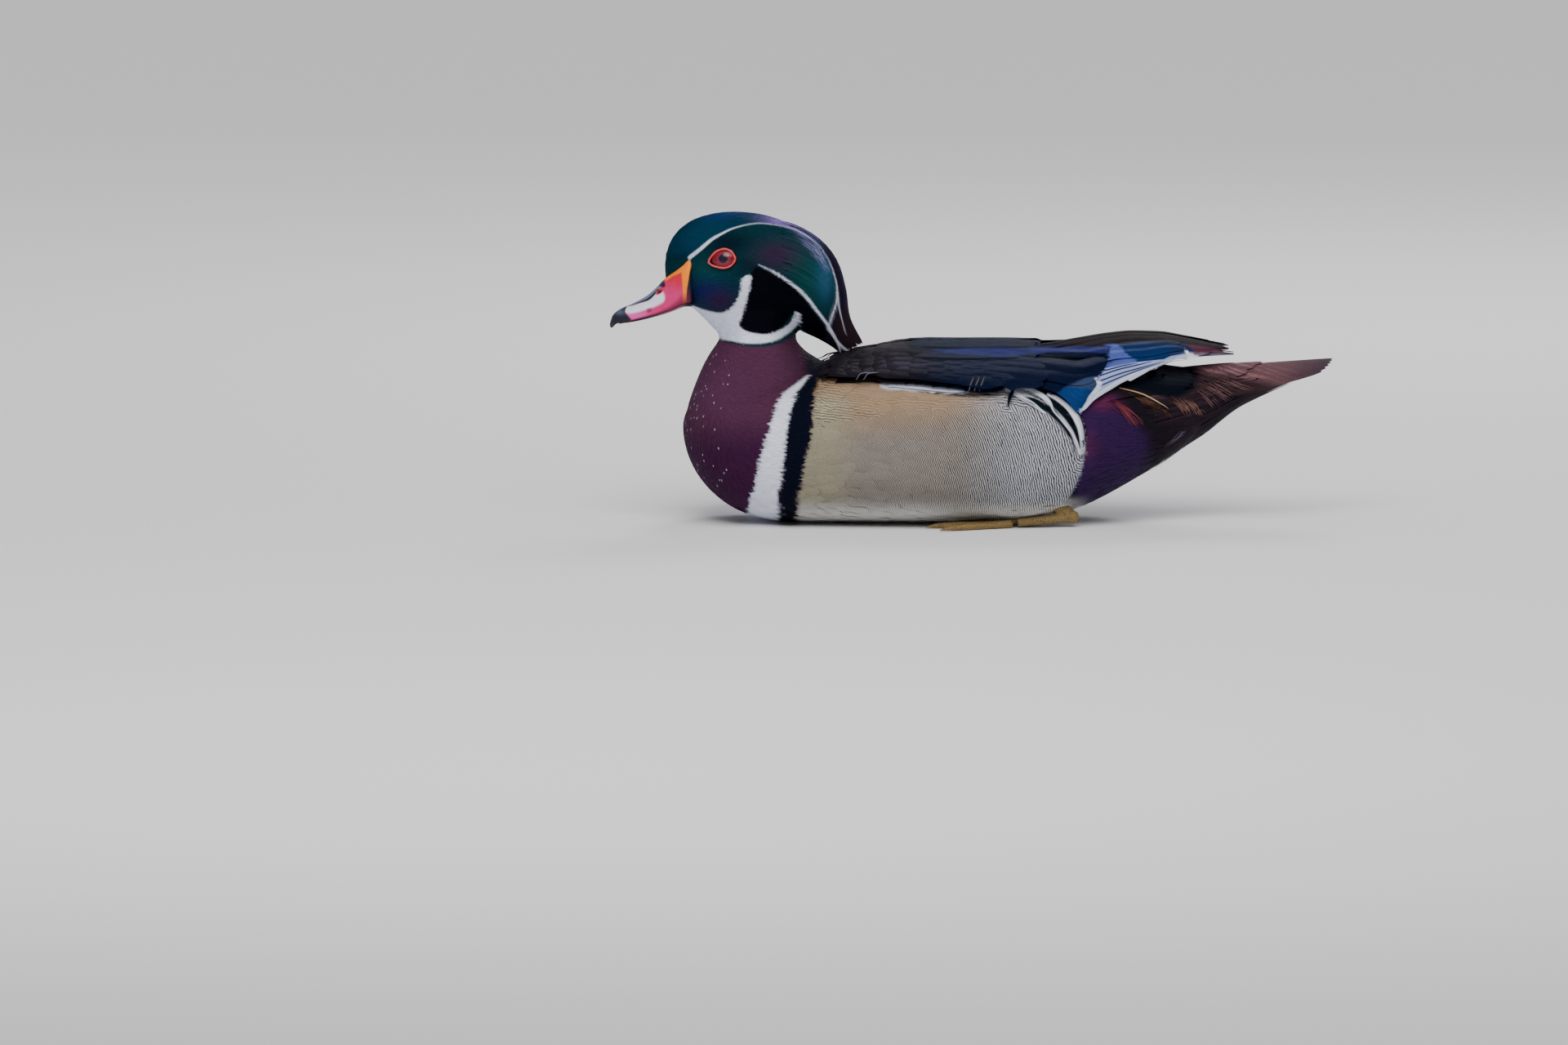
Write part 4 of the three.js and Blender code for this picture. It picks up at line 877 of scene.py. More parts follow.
wingMarks = {
    "slateBack": [(-34, 97), (-4, 96), (31, 96.4), (44, 97.6), (47, 102), (20, 106), (-34, 106)],
    "brownTop": [(44, 98.4), (50.5, 97.3), (59.5, 96.8), (75.9, 95.6), (82.3, 96.4), (94, 98.2), (105, 98.2),
                 (118.6, 97.2), (135, 94), (141.4, 93), (152, 93.6), (152, 112), (50, 112), (46, 100)],
    "maroonTip": [(113, 98), (117, 94.6), (121, 92.6), (141, 92.6), (141, 94.8), (128, 96.8)],
    "violetPatch": [(73, 98), (82.4, 97.5), (85.5, 92.7), (92.4, 87.4), (83, 84.8), (72, 83)],
    "steelPatch": [(81.5, 97.5), (94.1, 99), (105, 99), (119, 97.6), (124, 93.5), (119.5, 92.6),
                   (110.5, 90.8), (106.8, 88.9), (92.3, 87.2), (85.5, 92.7)],
    "fanShape": [(72, 83.6), (83, 86), (92.3, 87.6), (106.8, 89.2), (110.5, 91), (118, 92.6), (124, 92.8),
                 (124, 84), (105, 80), (86, 72), (66, 58), (56, 54), (56, 60), (60, 64), (66, 70), (67, 79)],
    "fanLines": [[(74, 82.9), (83, 85.3), (92, 87)], [(71, 80), (81, 83.4), (92, 86), (100, 88)],
                 [(70.5, 76.8), (81.4, 80.9), (93.2, 84.3), (106.8, 88)],
                 [(69.8, 73.8), (80.5, 78.4), (92.3, 82.9), (105, 87)]],
    "whiteBand": [(60.5, 60), (68.6, 67.6), (85, 77.6), (105.9, 86), (118.6, 90.2), (125, 90.9)],
    "trailing": [(68.6, 78.4), (70.4, 75.5), (69.3, 71.8), (66, 68.4), (63.2, 63.6), (59.6, 59.6)],
    "spotShape": [(118.6, 95.2), (121.2, 92.2), (126.5, 90.9), (122.4, 89.8), (121.2, 87), (119.4, 90)],
    "stripShape": [(124, 93), (138, 92.6), (142, 92), (138, 89), (124, 89)],
    "speculumShape": [(44, 72.6), (52.3, 74.2), (63.2, 73.2), (67, 71.8), (64.2, 65), (60, 58), (56, 56),
                      (50, 64)],
    "sliverShape": [(51.6, 73.8), (55, 75.6), (63.2, 79.2), (70, 80.6), (69.6, 75), (67, 71.8), (63.2, 73)],
    "panel": [(-34, 96.6), (-4, 96.2), (31, 96), (54, 97), (76.9, 96.4), (76.7, 94), (75.7, 88.2),
              (73.4, 82.6), (70, 79.7), (66, 79.3), (62.5, 78.6), (56, 75.6), (50, 72.8), (45, 68), (36, 66),
              (-34, 60)],
    "upperBand": [(31.5, 95.4), (46, 96.4), (60, 96.6), (76.6, 96), (76.3, 92.4), (59.5, 93.2), (45.9, 93.2),
                  (32.3, 92.4)],
    "frontBand": [(-26, 93.4), (-4, 95.4), (14, 96), (31.4, 94.8), (30.5, 91.8), (18.6, 90.3), (-4, 92)],
}


def wingColour(u, v):
    marks = wingMarks
    colour = layer(np.broadcast_to(wing["warmBlack"], u.shape + (3,)), wing["black"], smooth(-56, -16, u))
    colour = layer(colour, wing["greyBrown"], 0.75 * glow(u, v, (-46, 98.5), (16, 4)))
    colour = layer(colour, tint(46, 40, 58), 0.6 * glow(u, v, (-34, 86), (18, 4)))
    for name, zone, soft in (("slate", "slateBack", 1.4), ("brown", "brownTop", 0.3),
                             ("maroon", "maroonTip", 1.0), ("violet", "violetPatch", 0.25),
                             ("steel", "steelPatch", 0.25), ("silver", "fanShape", 0.25)):
        colour = layer(colour, wing[name], patch(u, v, marks[zone], soft, False))
    steelDeep = patch(u, v, marks["steelPatch"], 0.5, False) * (smooth(94, 99, v) + smooth(106, 118, u))
    colour = layer(colour, tint(30, 40, 72), 0.75 * np.minimum(1, steelDeep))
    colour = layer(colour, wing["white"], stroke(u, v, marks["whiteBand"], [0.7, 1.5, 1.9, 1.6, 1.3, 0.8],
                                                 0.3))
    for line in marks["fanLines"]:
        colour = layer(colour, wing["line"], stroke(u, v, line, [0.42, 0.45, 0.4, 0.15], 0.22))
    for name, zone in (("paleStrip", "stripShape"), ("spot", "spotShape"), ("speculum", "speculumShape"),
                       ("sliver", "sliverShape")):
        colour = layer(colour, wing[name], patch(u, v, marks[zone], 0.3, False))
    colour = layer(colour, wing["white"], stroke(u, v, marks["trailing"], [0.5, 1.2, 1.3, 1.2, 1.0, 0.4],
                                                 0.3))
    panel = patch(u, v, marks["panel"], 0.25, False)
    colour = layer(colour, wing["navy"], panel * smooth(-40, 0, u))
    colour = layer(colour, wing["violetBand"], patch(u, v, marks["upperBand"], 0.3, False))
    front = patch(u, v, marks["frontBand"], 0.7, False)
    colour = layer(colour, mixed(wing["violetBand"], wing["deepBlue"], smooth(0, 16, u)[..., None]), front)
    return colour


def seenPath(*points):  # a feather's midline given in the side view
    return [(float(mantleU(x)), acrossAt(x, up)) for x, up in points]


def makeWing(name, side):
    stations = np.linspace(0, 1, 117)
    limits = [acrossAt(x, up) for x, up in zip(mantleX(stations), wing["edge"](mantleX(stations)))]

    def place(u, v, lift):  # nothing hangs below the wing's lower edge
        over = np.maximum(0, v - np.interp(u, stations, limits))
        return mantlePoint(u, v - 0.94 * over, side, lift)
    flip = side  # a vane's outer half is towards the wing's lower edge on both sides
    batches = []

    # the wing's markings, each vane a little paler or darker and with its own rim
    def marked(rim, spread=0.05):
        def colourAt(top, s, c, n):
            colour = wingColour(*sideView(top)) * rng.normal(1, spread)
            return colour + rim * smooth(0.8, 1, np.maximum(np.abs(c), s ** 4))[..., None] * tint(40, 40, 52)
        return colourAt

    # the bed that the feathers lie on, one closed sheet
    along, over = np.meshgrid(np.linspace(0.03, 0.975, 230), np.linspace(0, 1, 50), indexing="ij")
    across = over * np.interp(along, stations, limits)
    sunk = 0.2 - 4.5 * smooth(0.14, 0.02, along) - 2.6 * smooth(0.84, 0.96, along)
    top, raised = place(along, across, sunk), place(along, across, sunk + 1)
    flat = np.zeros(along.shape)
    deep = 2.2 - 1.7 * smooth(0.78, 0.96, along)
    batches.append({"top": top[None], "normal": unit(raised - top)[None], "thick": deep[None],
                    "root": top[:1, 25], "colour": wingColour(*sideView(top))[None],
                    "gloss": (flat + 0.4)[None], "lie": np.stack([top[..., 1], top[..., 0], flat], -1)[None],
                    "barring": flat[None]})

    # primaries, from the lowest: long and dark under the fan
    primaries = [seenPath((54, 80), (86, 84), (108, 89.6), (126, 92.4)),
                 seenPath((54, 82), (90, 87), (114, 92.4), (133, 93.6)),
                 seenPath((56, 84), (92, 91), (118, 94.6), (139, 94.4)),
                 seenPath((58, 88), (94, 94.6), (120, 96), (143, 94.2))]
    batches.append(laidVanes(place, primaries, 4.4, 40, 7, [lifting(-1.6, 0.5 + 0.25 * n) for n in range(4)],
                             marked(0.1), tipPower=2.2, root=0.7, tilt=0.15 * flip, gloss=0.5))

    # secondaries with the blue speculum and white trailing edge
    secondaries = [seenPath((30, 78), (48, 74.4), (61.6, 62.6)), seenPath((30, 79), (49, 75.8), (63.4, 66.2)),
                   seenPath((32, 80), (50, 77.2), (65.4, 69.6)), seenPath((34, 80.6), (52, 78.6), (67, 72.8)),
                   seenPath((36, 81.4), (54, 80), (69.2, 75.8)), seenPath((38, 82.4), (56, 82), (69.6, 79))]
    batches.append(laidVanes(place, secondaries, 3.4, 44, 11,
                             [lifting(-1.6, 0.3 + 0.12 * n) for n in range(6)], marked(0.0), tipPower=3.0,
                             root=0.7, tilt=0.25 * flip, gloss=0.7))

    # silver outer webs of the primaries, a fan from below the tertials to the white spot at the wing's edge
    fan = [seenPath((59.6, 59), (67, 67), (84, 77.8), (106, 86.4), (123, 90.6)),
           seenPath((64, 68), (72, 73.6), (86, 79.4), (106, 87.4), (121, 91.2)),
           seenPath((66, 73), (76, 77.4), (88, 81.6), (106, 88.4), (120, 91.8)),
           seenPath((67, 77), (78, 80.8), (92, 85.2), (106, 89.4), (118, 92)),
           seenPath((68, 80), (80, 83.8), (90, 86.2), (100, 88.6))]
    batches.append(laidVanes(place, fan, [1.5, 1.8, 1.8, 1.8, 1.6], 56, 11,
                             [lifting(-0.6, 1.1 + 0.18 * n, 0.15) for n in range(5)], marked(0.0),
                             tipPower=1.6, root=0.75, widest=0.35, tilt=0.12 * flip, gloss=0.6, thick=0.3))

    # steel blue and violet webs behind the tertials' square end
    webs = [seenPath((60, 86), (78, 90.4), (98, 92.6), (117, 94)),
            seenPath((62, 91), (80, 93.8), (98, 95.6), (116, 96.2))]
    batches.append(laidVanes(place, webs, [4.2, 4.0], 48, 13, [lifting(-0.6, 2.0), lifting(-0.6, 2.3)],
                             marked(0.0), tipPower=2.0, root=0.8, tilt=0.15 * flip, gloss=0.7))

    # the brown feathers that lie highest, from the back to the wing tip
    inU = lambda *points: [(float(mantleU(x)), across) for x, across in points]
    topVanes = [inU((25, 0.30), (84, 0.32), (110, 0.42), (133, 0.55)),
                inU((22, 0.18), (88, 0.18), (141, 0.34)), inU((20, 0.02), (84, 0.04), (132, 0.14))]
    batches.append(laidVanes(place, topVanes, [5.0, 6.4, 6.4], 46, 9,
                             [lifting(-1, 1.5 + 0.35 * n) for n in range(3)], marked(0.1), tipPower=1.8,
                             root=0.7, tilt=0.1 * flip, gloss=0.2))

    # tertials: broad vanes with a violet upper band, ending square, the shorter ones on top
    tertials = [seenPath((-6, 78.5), (34, 79.5), (70, 82)), seenPath((-8, 84), (36, 85), (75, 86.4)),
                seenPath((-6, 90), (38, 91.4), (76.4, 92.6)),
                seenPath((-54, 82), (-14, 80), (24, 80)), seenPath((-54, 87), (-14, 86.4), (28, 86.6)),
                seenPath((-52, 92), (-12, 92.2), (31, 92.6))]
    batches.append(laidVanes(place, tertials, [4.6, 6.4, 4.6, 5.4, 6.2, 4.6], 44, 15,
                             [lifting(-1.4, 2.0 + 0.35 * n) for n in range(6)], marked(0.0), tipPower=5,
                             root=0.75, widest=0.8, tilt=0.3 * flip, gloss=0.6))

    # scapulars and coverts: rows of rounded black feathers from the shoulder, the foremost on top
    paths, halves, lifts = [], [], []
    for row, startX in enumerate(np.linspace(2, -84, 12)):
        number = 9
        for k in range(number):
            across = mixed(0.0, 0.97, (k + 0.5 * (row % 2)) / (number - 0.5))
            x = startX + rng.normal(0, 1.6)
            across *= float(np.interp(mantleU(x + 14), stations, limits))
            long = mixed(22, 36, smooth(-84, -10, startX)) * rng.uniform(0.9, 1.1)
            drift = 0.05 * (0.5 - across)
            paths.append([(float(mantleU(x)), across), (float(mantleU(x + long * 0.5)), across + drift * 0.6),
                          (float(mantleU(x + long)), across + drift)])
            halves.append(mixed(4.8, 6.6, smooth(-84, -10, startX)))
            lifts.append(lifting(-1.2, 3.6 - 1.8 * smooth(-40, -86, startX)))
    batches.append(laidVanes(place, paths, halves, 10, 5, lifts, marked(0.1, 0.08), tipPower=2.4, root=0.6,
                             widest=0.55, tilt=0.1 * flip, gloss=0.35, thick=0.2, crown=0.05))

    # a few small striped tips of flank feathers stand over the wing's lower edge
    tips = [seenPath((x + 0.6, 70.6), (x + 2.0, 73.2), (x + 3.4, 76.4)) for x in (-2.4, 0.6, 3.4)]
    tips += [seenPath((x, 76.6), (x + 4, 78.0), (x + 9, 78.4)) for x in (-64, -60)]
    striped = lambda top, s, c, n: layer(np.broadcast_to(tint(26, 28, 38), s.shape + (3,)),
                                         tint(150, 150, 160),
                                         smooth(0.5, 0.1, np.abs(c)) * (0.25 if n < 3 else 0.6))
    standing = lambda u, v, lift: mantlePoint(u, v, side, lift)
    batches.append(laidVanes(standing, tips, 1.0, 12, 9, [lifting(1.5, 4.2) for _ in tips], striped,
                             tipPower=1.6, root=0.6, gloss=0.2))
    return vaneMesh(name, batches, bodyUnwrap)


# Tail: a fan of twelve feathers, with coverts above and below
# the tail's pink is the colour of the painted highlight streaks on its coverts
tail = {"root": 112, "tip": 201, "brown": tint(96, 66, 72), "pink": tint(168, 124, 128),
        "dark": tint(38, 29, 34), "tipShade": tint(62, 42, 54), "purpleBlack": tint(36, 26, 34)}
under = {
    "start": 92, "end": 180, "turn": 1.95,
    "bottom": profile((92, 25), (104, 31.5), (117, 41), (130, 49.5), (138.6, 56.5), (147.3, 63.2),
                      (160.5, 70), (168, 73.4), (180, 78.5)),
    "width": profile((92, 40), (118, 28), (134, 21.5), (150, 17.5), (166, 13), (180, 6)),
    "widest": profile((92, 60), (118, 66), (146, 76), (166, 80), (180, 83)),
}


def tailPlace(u, v, lift):
    across = v * 2 - 1
    x = mixed(tail["root"], tail["tip"] - 8 * np.abs(across) ** 2.2, u)
    z = mixed(83, 90.2, np.clip(u, 0, 1) ** 0.8) - mixed(18, 5.5, u) * np.abs(across) ** 1.7 + lift
    return np.stack(np.broadcast_arrays(x, across * mixed(15, 24, u), z), -1)


# the cone of soft feathers below the tail; v goes from one side under to the other
def underPlace(u, v, lift):
    x, angle = mixed(under["start"], under["end"], u), (v - 0.5) * 2 * under["turn"]
    middle = under["widest"](x)
    y = (under["width"](x) + lift) * np.sin(angle)
    return np.stack(
        np.broadcast_arrays(x, y, middle - (middle - under["bottom"](x) + lift) * np.cos(angle)), -1)


def rearColour(u, v):
    colour = np.broadcast_to(tail["brown"], u.shape + (3,))
    colour = layer(colour, tail["tipShade"], smooth(168, 196, u + 0.6 * (84 - v)))
    # painted highlight: pale pink streaks of sheen across the tail coverts
    slope = v + 0.34 * (u - 120)
    highlightStreaks = (smooth(0.5, 0.95, np.sin(slope * 2.1 + 1.4 * np.sin(u * 0.12 + slope * 0.5)))
               * glow(u, v, (142, 82), (24, 7)))
    colour = layer(colour, tail["pink"], 0.6 * highlightStreaks)
    colour = layer(colour, tail["dark"], 0.9 * patch(
        u, v, [(126, 78), (140, 81.5), (152, 78.6), (168, 75), (176, 70), (120, 60)], 2.5))
    colour = layer(colour, tail["purpleBlack"], smooth(72, 66, v))
    return layer(colour, bodyMarks["lobe"], patch(u, v, bodyMarks["lobeShape"], 0.9))


def makeTail():
    def toned(spread):
        return lambda top, s, c, n: rearColour(*sideView(top)) * rng.normal(1, spread)
    batches = []
    for side in sides.values():
        fan = [0.5 + 0.5 * side * (k + 0.5) / 6 for k in range(6)]
        paths = [[(0.0, mixed(0.5, a, 0.9)), (0.5, a), (1.0, a)] for a in fan]
        lifts = [lifting(-2, (0.4 if side < 0 else -0.2) - 0.1 * k, 0.25) for k in range(6)]
        batches.append(laidVanes(tailPlace, paths, 5.4, 56, 11, lifts, toned(0.03), tipPower=2.8, root=0.7,
                                 widest=0.8, tilt=0.05, gloss=0.2, crown=0.02))
        upper = [[(-0.12, 0.5 + side * a * 0.5), (0.2, 0.5 + side * a * 0.5), (reach, 0.5 + side * a * 0.5)]
                 for a, reach in zip((0.1, 0.3, 0.5, 0.7, 0.88, 0.2, 0.6),
                                     (0.56, 0.52, 0.48, 0.42, 0.34, 0.4, 0.32))]
        batches.append(laidVanes(tailPlace, upper, 4.6, 26, 7,
                                 [lifting(-3, 1.1 + 0.15 * k, 0.25) for k in range(7)], toned(0.06),
                                 tipPower=2.0, root=0.6, gloss=0.3))
    paths, halves = [], []
    for startX in np.linspace(92, 152, 11):
        for k in range(19):
            a, u0 = (k + 0.5 + rng.normal(0, 0.15)) / 19, (startX + rng.normal(0, 2) - under["start"]) / 88
            long = rng.uniform(0.34, 0.46)
            paths.append([(u0, a), (u0 + long * 0.5, mixed(a, 0.5, 0.03)),
                          (min(u0 + long, 1.0), mixed(a, 0.5, 0.08))])
            halves.append(mixed(3.0, 1.9, smooth(110, 155, startX)))
    batches.append(laidVanes(underPlace, paths, halves, 10, 5, lifting(-1.4, 0.2, 0.25), toned(0.12),
                             thick=0.15, tipPower=1.6, root=0.6, gloss=0.3, crown=0.05))
    paths = []
    for k in range(520):
        a, u0 = rng.random(), rng.uniform(0.0, 0.7)
        paths.append([(u0, a), (u0 + 0.16, mixed(a, 0.5, 0.02)), (min(u0 + 0.32, 1.0), mixed(a, 0.5, 0.06))])
    batches.append(laidVanes(underPlace, paths, 0.5, 8, 3, lifting(-0.4, 0.9, 0.25), toned(0.3), thick=0.15,
                             tipPower=1.4, gloss=0.3))
    return vaneMesh("tailFeathers", batches, bodyUnwrap)


# Long soft plumes over the rump's side and under the tail
plumes = [  # fine strands seen from the side, each group from one line to another
    {"from": [(81.7, 73.3), (81.7, 73.3)], "to": [(109.3, 61.9), (109.3, 61.9)], "bow": 1.6, "count": 1,
     "half": 0.42, "base": tint(190, 156, 96), "tip": tint(240, 222, 170)},
    {"from": [(88, 70.6), (106, 62.4)], "to": [(96, 63.5), (113, 56)], "bow": 0.6, "count": 26, "half": 0.11,
     "base": tint(120, 84, 56), "tip": tint(60, 44, 40)},
    {"from": [(75, 68.5), (81.5, 64)], "to": [(88, 52), (95, 53)], "bow": 1.0, "count": 28, "half": 0.14,
     "base": tint(92, 26, 52), "tip": tint(150, 78, 84)},
    {"from": [(110, 66.6), (122, 66)], "to": [(117, 58.5), (129, 59)], "bow": 0.8, "count": 36, "half": 0.12,
     "base": tint(84, 56, 54), "tip": tint(162, 120, 108)},
    {"from": [(125, 70), (126, 84)], "to": [(134, 62.5), (158, 74)], "bow": 0.8, "count": 34, "half": 0.12,
     "base": tint(76, 52, 56), "tip": tint(146, 108, 106)},
    {"from": [(106, 40), (112, 43)], "to": [(114, 46.5), (120, 50)], "bow": 0.3, "count": 14, "half": 0.2,
     "base": tint(50, 42, 58), "tip": tint(104, 94, 118)},
]


def landing(bed, side):  # a place function on what shows from the side: u and v in hundreds of millimetres
    inward = Vector((0, math.cos(viewTilt), -math.sin(viewTilt)))

    def place(u, v, lift):
        u, v = np.broadcast_arrays(np.asarray(u, float), np.asarray(v, float))
        out = np.empty(u.shape + (3,))
        for index in np.ndindex(u.shape):
            x, up = u[index] * 100, v[index] * 100
            middle = Vector((x, up * math.sin(viewTilt), up * math.cos(viewTilt))) * metre
            hit, _, _, _ = bed.ray_cast(middle - inward * 0.3, inward)
            if hit is None:
                hit, _, _, _ = bed.find_nearest(middle - inward * 0.03)
            spot = hit / metre - inward * lift
            out[index] = (spot.x, spot.y * -side, spot.z)
        return out
    return place


def bedOf(*things):
    vertices, polygons = [], []
    for thing in things:
        polygons += [[len(vertices) + v for v in polygon.vertices] for polygon in thing.data.polygons]
        vertices += [v.co.copy() for v in thing.data.vertices]
    return BVHTree.FromPolygons(vertices, polygons)


def makeLobe(bed):  # the dark rounded feathers over the rump's side
    batches = []
    for side in sides.values():
        lobe = [[(0.66, 0.66 + 0.024 * k), (0.88, 0.715 + 0.02 * k),
                 (1.14 + 0.1 * math.sin(k / 8 * math.pi), 0.70 + 0.018 * k)] for k in range(9)]
        lifts = [lifting(-0.6, 1.5 + 0.05 * k, 0.3) for k in range(9)]
        batches.append(laidVanes(landing(bed, side), lobe, 4.4, 18, 7, lifts, coatTone,
                                 thick=0.2, tipPower=2.0, root=0.6, gloss=0.4, crown=0.03))
    return vaneMesh("lobeFeathers", batches, bodyUnwrap)


# the long flank feathers with crisp white ends: rear crescents and the wedge under the wing
def makeEdgeFeathers(bed):
    batches = []
    for side in sides.values():
        paths = [(path, max(widths) + 1.6) for path, widths in bodyMarks["crescents"]]
        paths.append((bodyMarks["wedge"], 2.6))
        for path, half in paths:
            hundreds = [(x / 100, up / 100) for x, up in path]
            batches.append(laidVanes(landing(bed, side), [hundreds], half, 64, 15, lifting(-0.4, 1.3, 0.1),
                                     coatTone, thick=0.12, tipPower=2.0, root=0.8, gloss=0.3, crown=0.02))
    return vaneMesh("edgeFeathers", batches, bodyUnwrap)


def makePlumes(bed):
    batches = []
    for side in sides.values():
        place = landing(bed, side)
        for group in plumes:
            starts, ends = np.array(group["from"]), np.array(group["to"])
            paths = []
            for k in range(group["count"]):
                share = (k + 0.5) / group["count"]
                loose = 0 if group["count"] == 1 else 1.1
                start = mixed(starts[0], starts[1], share) + rng.normal(0, loose, 2)
                end = (mixed(ends[0], ends[1], np.clip(share + rng.normal(0, 0.12), 0, 1))
                       + rng.normal(0, loose, 2))
                middle = (start + end) / 2 + np.array([0.4, 0.9]) * group["bow"]
                paths.append([tuple(start / 100), tuple(middle / 100), tuple(end / 100)])
            strandColour = lambda top, s, c, n: mixed(group["base"], group["tip"],
                                                      s[..., None]) * rng.uniform(0.45, 1.1)
            batches.append(laidVanes(place, paths, group["half"], 9, 3, lifting(0.1, 0.6, 0.3), strandColour,
                                     thick=0.12, tipPower=1.4, root=0.8, widest=0.4, gloss=0.15))
    return vaneMesh("rumpPlumes", batches, bodyUnwrap)


# Bill
bill = {
    "tip": -201, "root": -155.4, "stations": 120, "around": 64,
    "culmen": profile((-201, 109.4), (-200.5, 111.6), (-199.3, 114.6), (-196.8, 117), (-192.5, 119.3),
                      (-188.4, 121), (-180.2, 125.6), (-174.1, 131), (-171.4, 133.9), (-160, 144.4),
                      (-156.4, 148), (-154, 149)),
    "mouth": profile((-201, 108.4), (-200, 107.6), (-199, 108.4), (-197.4, 110), (-194, 111.2), (-190, 112),
                     (-180.2, 114.4), (-168, 118.2), (-158.7, 122.4), (-154, 123.6)),
    "width": profile((-201, 0.5), (-200, 2), (-198.5, 3.8), (-193, 6), (-185, 7.6), (-175, 8.8),
                     (-165, 10.8), (-160, 13), (-157.6, 13.9), (-156.6, 13.7), (-155.4, 12.4)),
    "square": profile((-201, 2.1), (-180, 2.2), (-170, 3), (-160, 5), (-154, 6)),
    "red": tint(208, 32, 50), "magenta": tint(204, 42, 112), "pink": tint(214, 80, 160),
    "orange": tint(252, 134, 0),
    # slate is a painted highlight on the black ridge and nail; black serves both the real dark marks and
    # painted shade at the root
    "white": tint(226, 220, 244), "slate": tint(104, 116, 146), "black": tint(24, 26, 38),
    "nail": tint(28, 30, 44),
    "edge": tint(92, 16, 48), "rim": tint(186, 40, 40),
    "nostril": (-173.5, 128.1), "nostrilLean": (0.82, 0.57), "nostrilDeep": 1.6, "lowerTip": -195.5,
}


def billColour(p):
    u, v = sideView(p)
    height = (p[:, 2] - bill["mouth"](p[:, 0])) / (bill["culmen"](p[:, 0]) - bill["mouth"](p[:, 0]))
    colour = mixed(bill["magenta"], bill["red"], smooth(124, 136, v + 0.35 * (u + 165))[:, None])
    colour = layer(colour, bill["pink"], smooth(-176, -184, u) * smooth(118, 114, v))
    white = patch(u, v, [(-192.6, 119), (-180, 121.8), (-177, 125.6), (-172, 127), (-170.4, 123.2),
                         (-172.3, 120.4), (-180, 117.2), (-190.6, 114.8)], 0.8)
    colour = layer(colour, bill["white"], white)
    # the ridge along the culmen is black horn; its pale bluish slate tone here is a painted highlight along
    # that ridge
    ridge = patch(u, v, [(-196, 119), (-188, 124), (-180, 129), (-173.5, 135), (-171.5, 131.5),
                         (-174.4, 127.6), (-178.6, 123.4), (-185, 120.6), (-192, 118.6)], 0.5)
    colour = layer(colour, bill["slate"], ridge)
    dark = stroke(u, v, [(-190, 118.9), (-184, 121), (-178.8, 123.2), (-174, 128)], [0.15, 0.4, 0.7, 0.5],
                  0.3)
    dark = np.maximum(dark, patch(u, v, [(-174.4, 133.4), (-171, 133), (-170.2, 129.6), (-173.2, 130)], 0.4))
    dark = np.maximum(dark, 0.6 * patch(u, v, [(-180.2, 117.6), (-177.8, 117.8), (-177.8, 115.8),
                                               (-180, 115.4)], 0.5))
    colour = layer(colour, bill["black"], dark)
    border = patch(u, v, [(-173.4, 133.8), (-165, 141.6), (-157.4, 149), (-153, 149), (-153, 138),
                          (-157.2, 128.8), (-158.8, 123.6), (-160.1, 126.4), (-160.5, 132.4), (-161, 137.6),
                          (-165.7, 135.6), (-169.2, 133.2)], 0.35, False)
    colour = layer(colour, bill["orange"], border)
    # painted shade: the bill's root behind the orange border is darkened to black where it goes in under the
    # feathers
    behind = patch(u, v, [(-155, 143), (-156.6, 137.5), (-157.8, 129.5), (-158.8, 124.4), (-158.4, 121),
                          (-158.4, 110), (-150, 110), (-150, 143)], 0.25, False)
    colour = layer(colour, bill["black"], behind)
    nail = patch(u, v, [(-191.6, 121), (-192.4, 116), (-190.8, 113.6), (-189.6, 110), (-204, 104),
                        (-204, 121)], 0.4)
    # painted highlight: a pale slate spot on the black nail
    colour = layer(colour, mixed(bill["nail"], bill["slate"],
                                 0.5 * glow(u, v, (-195.4, 115.6), (3, 1.6))[:, None]), nail)
    return layer(colour, bill["edge"], smooth(0.09, 0.03, height) * smooth(-192, -188, u))


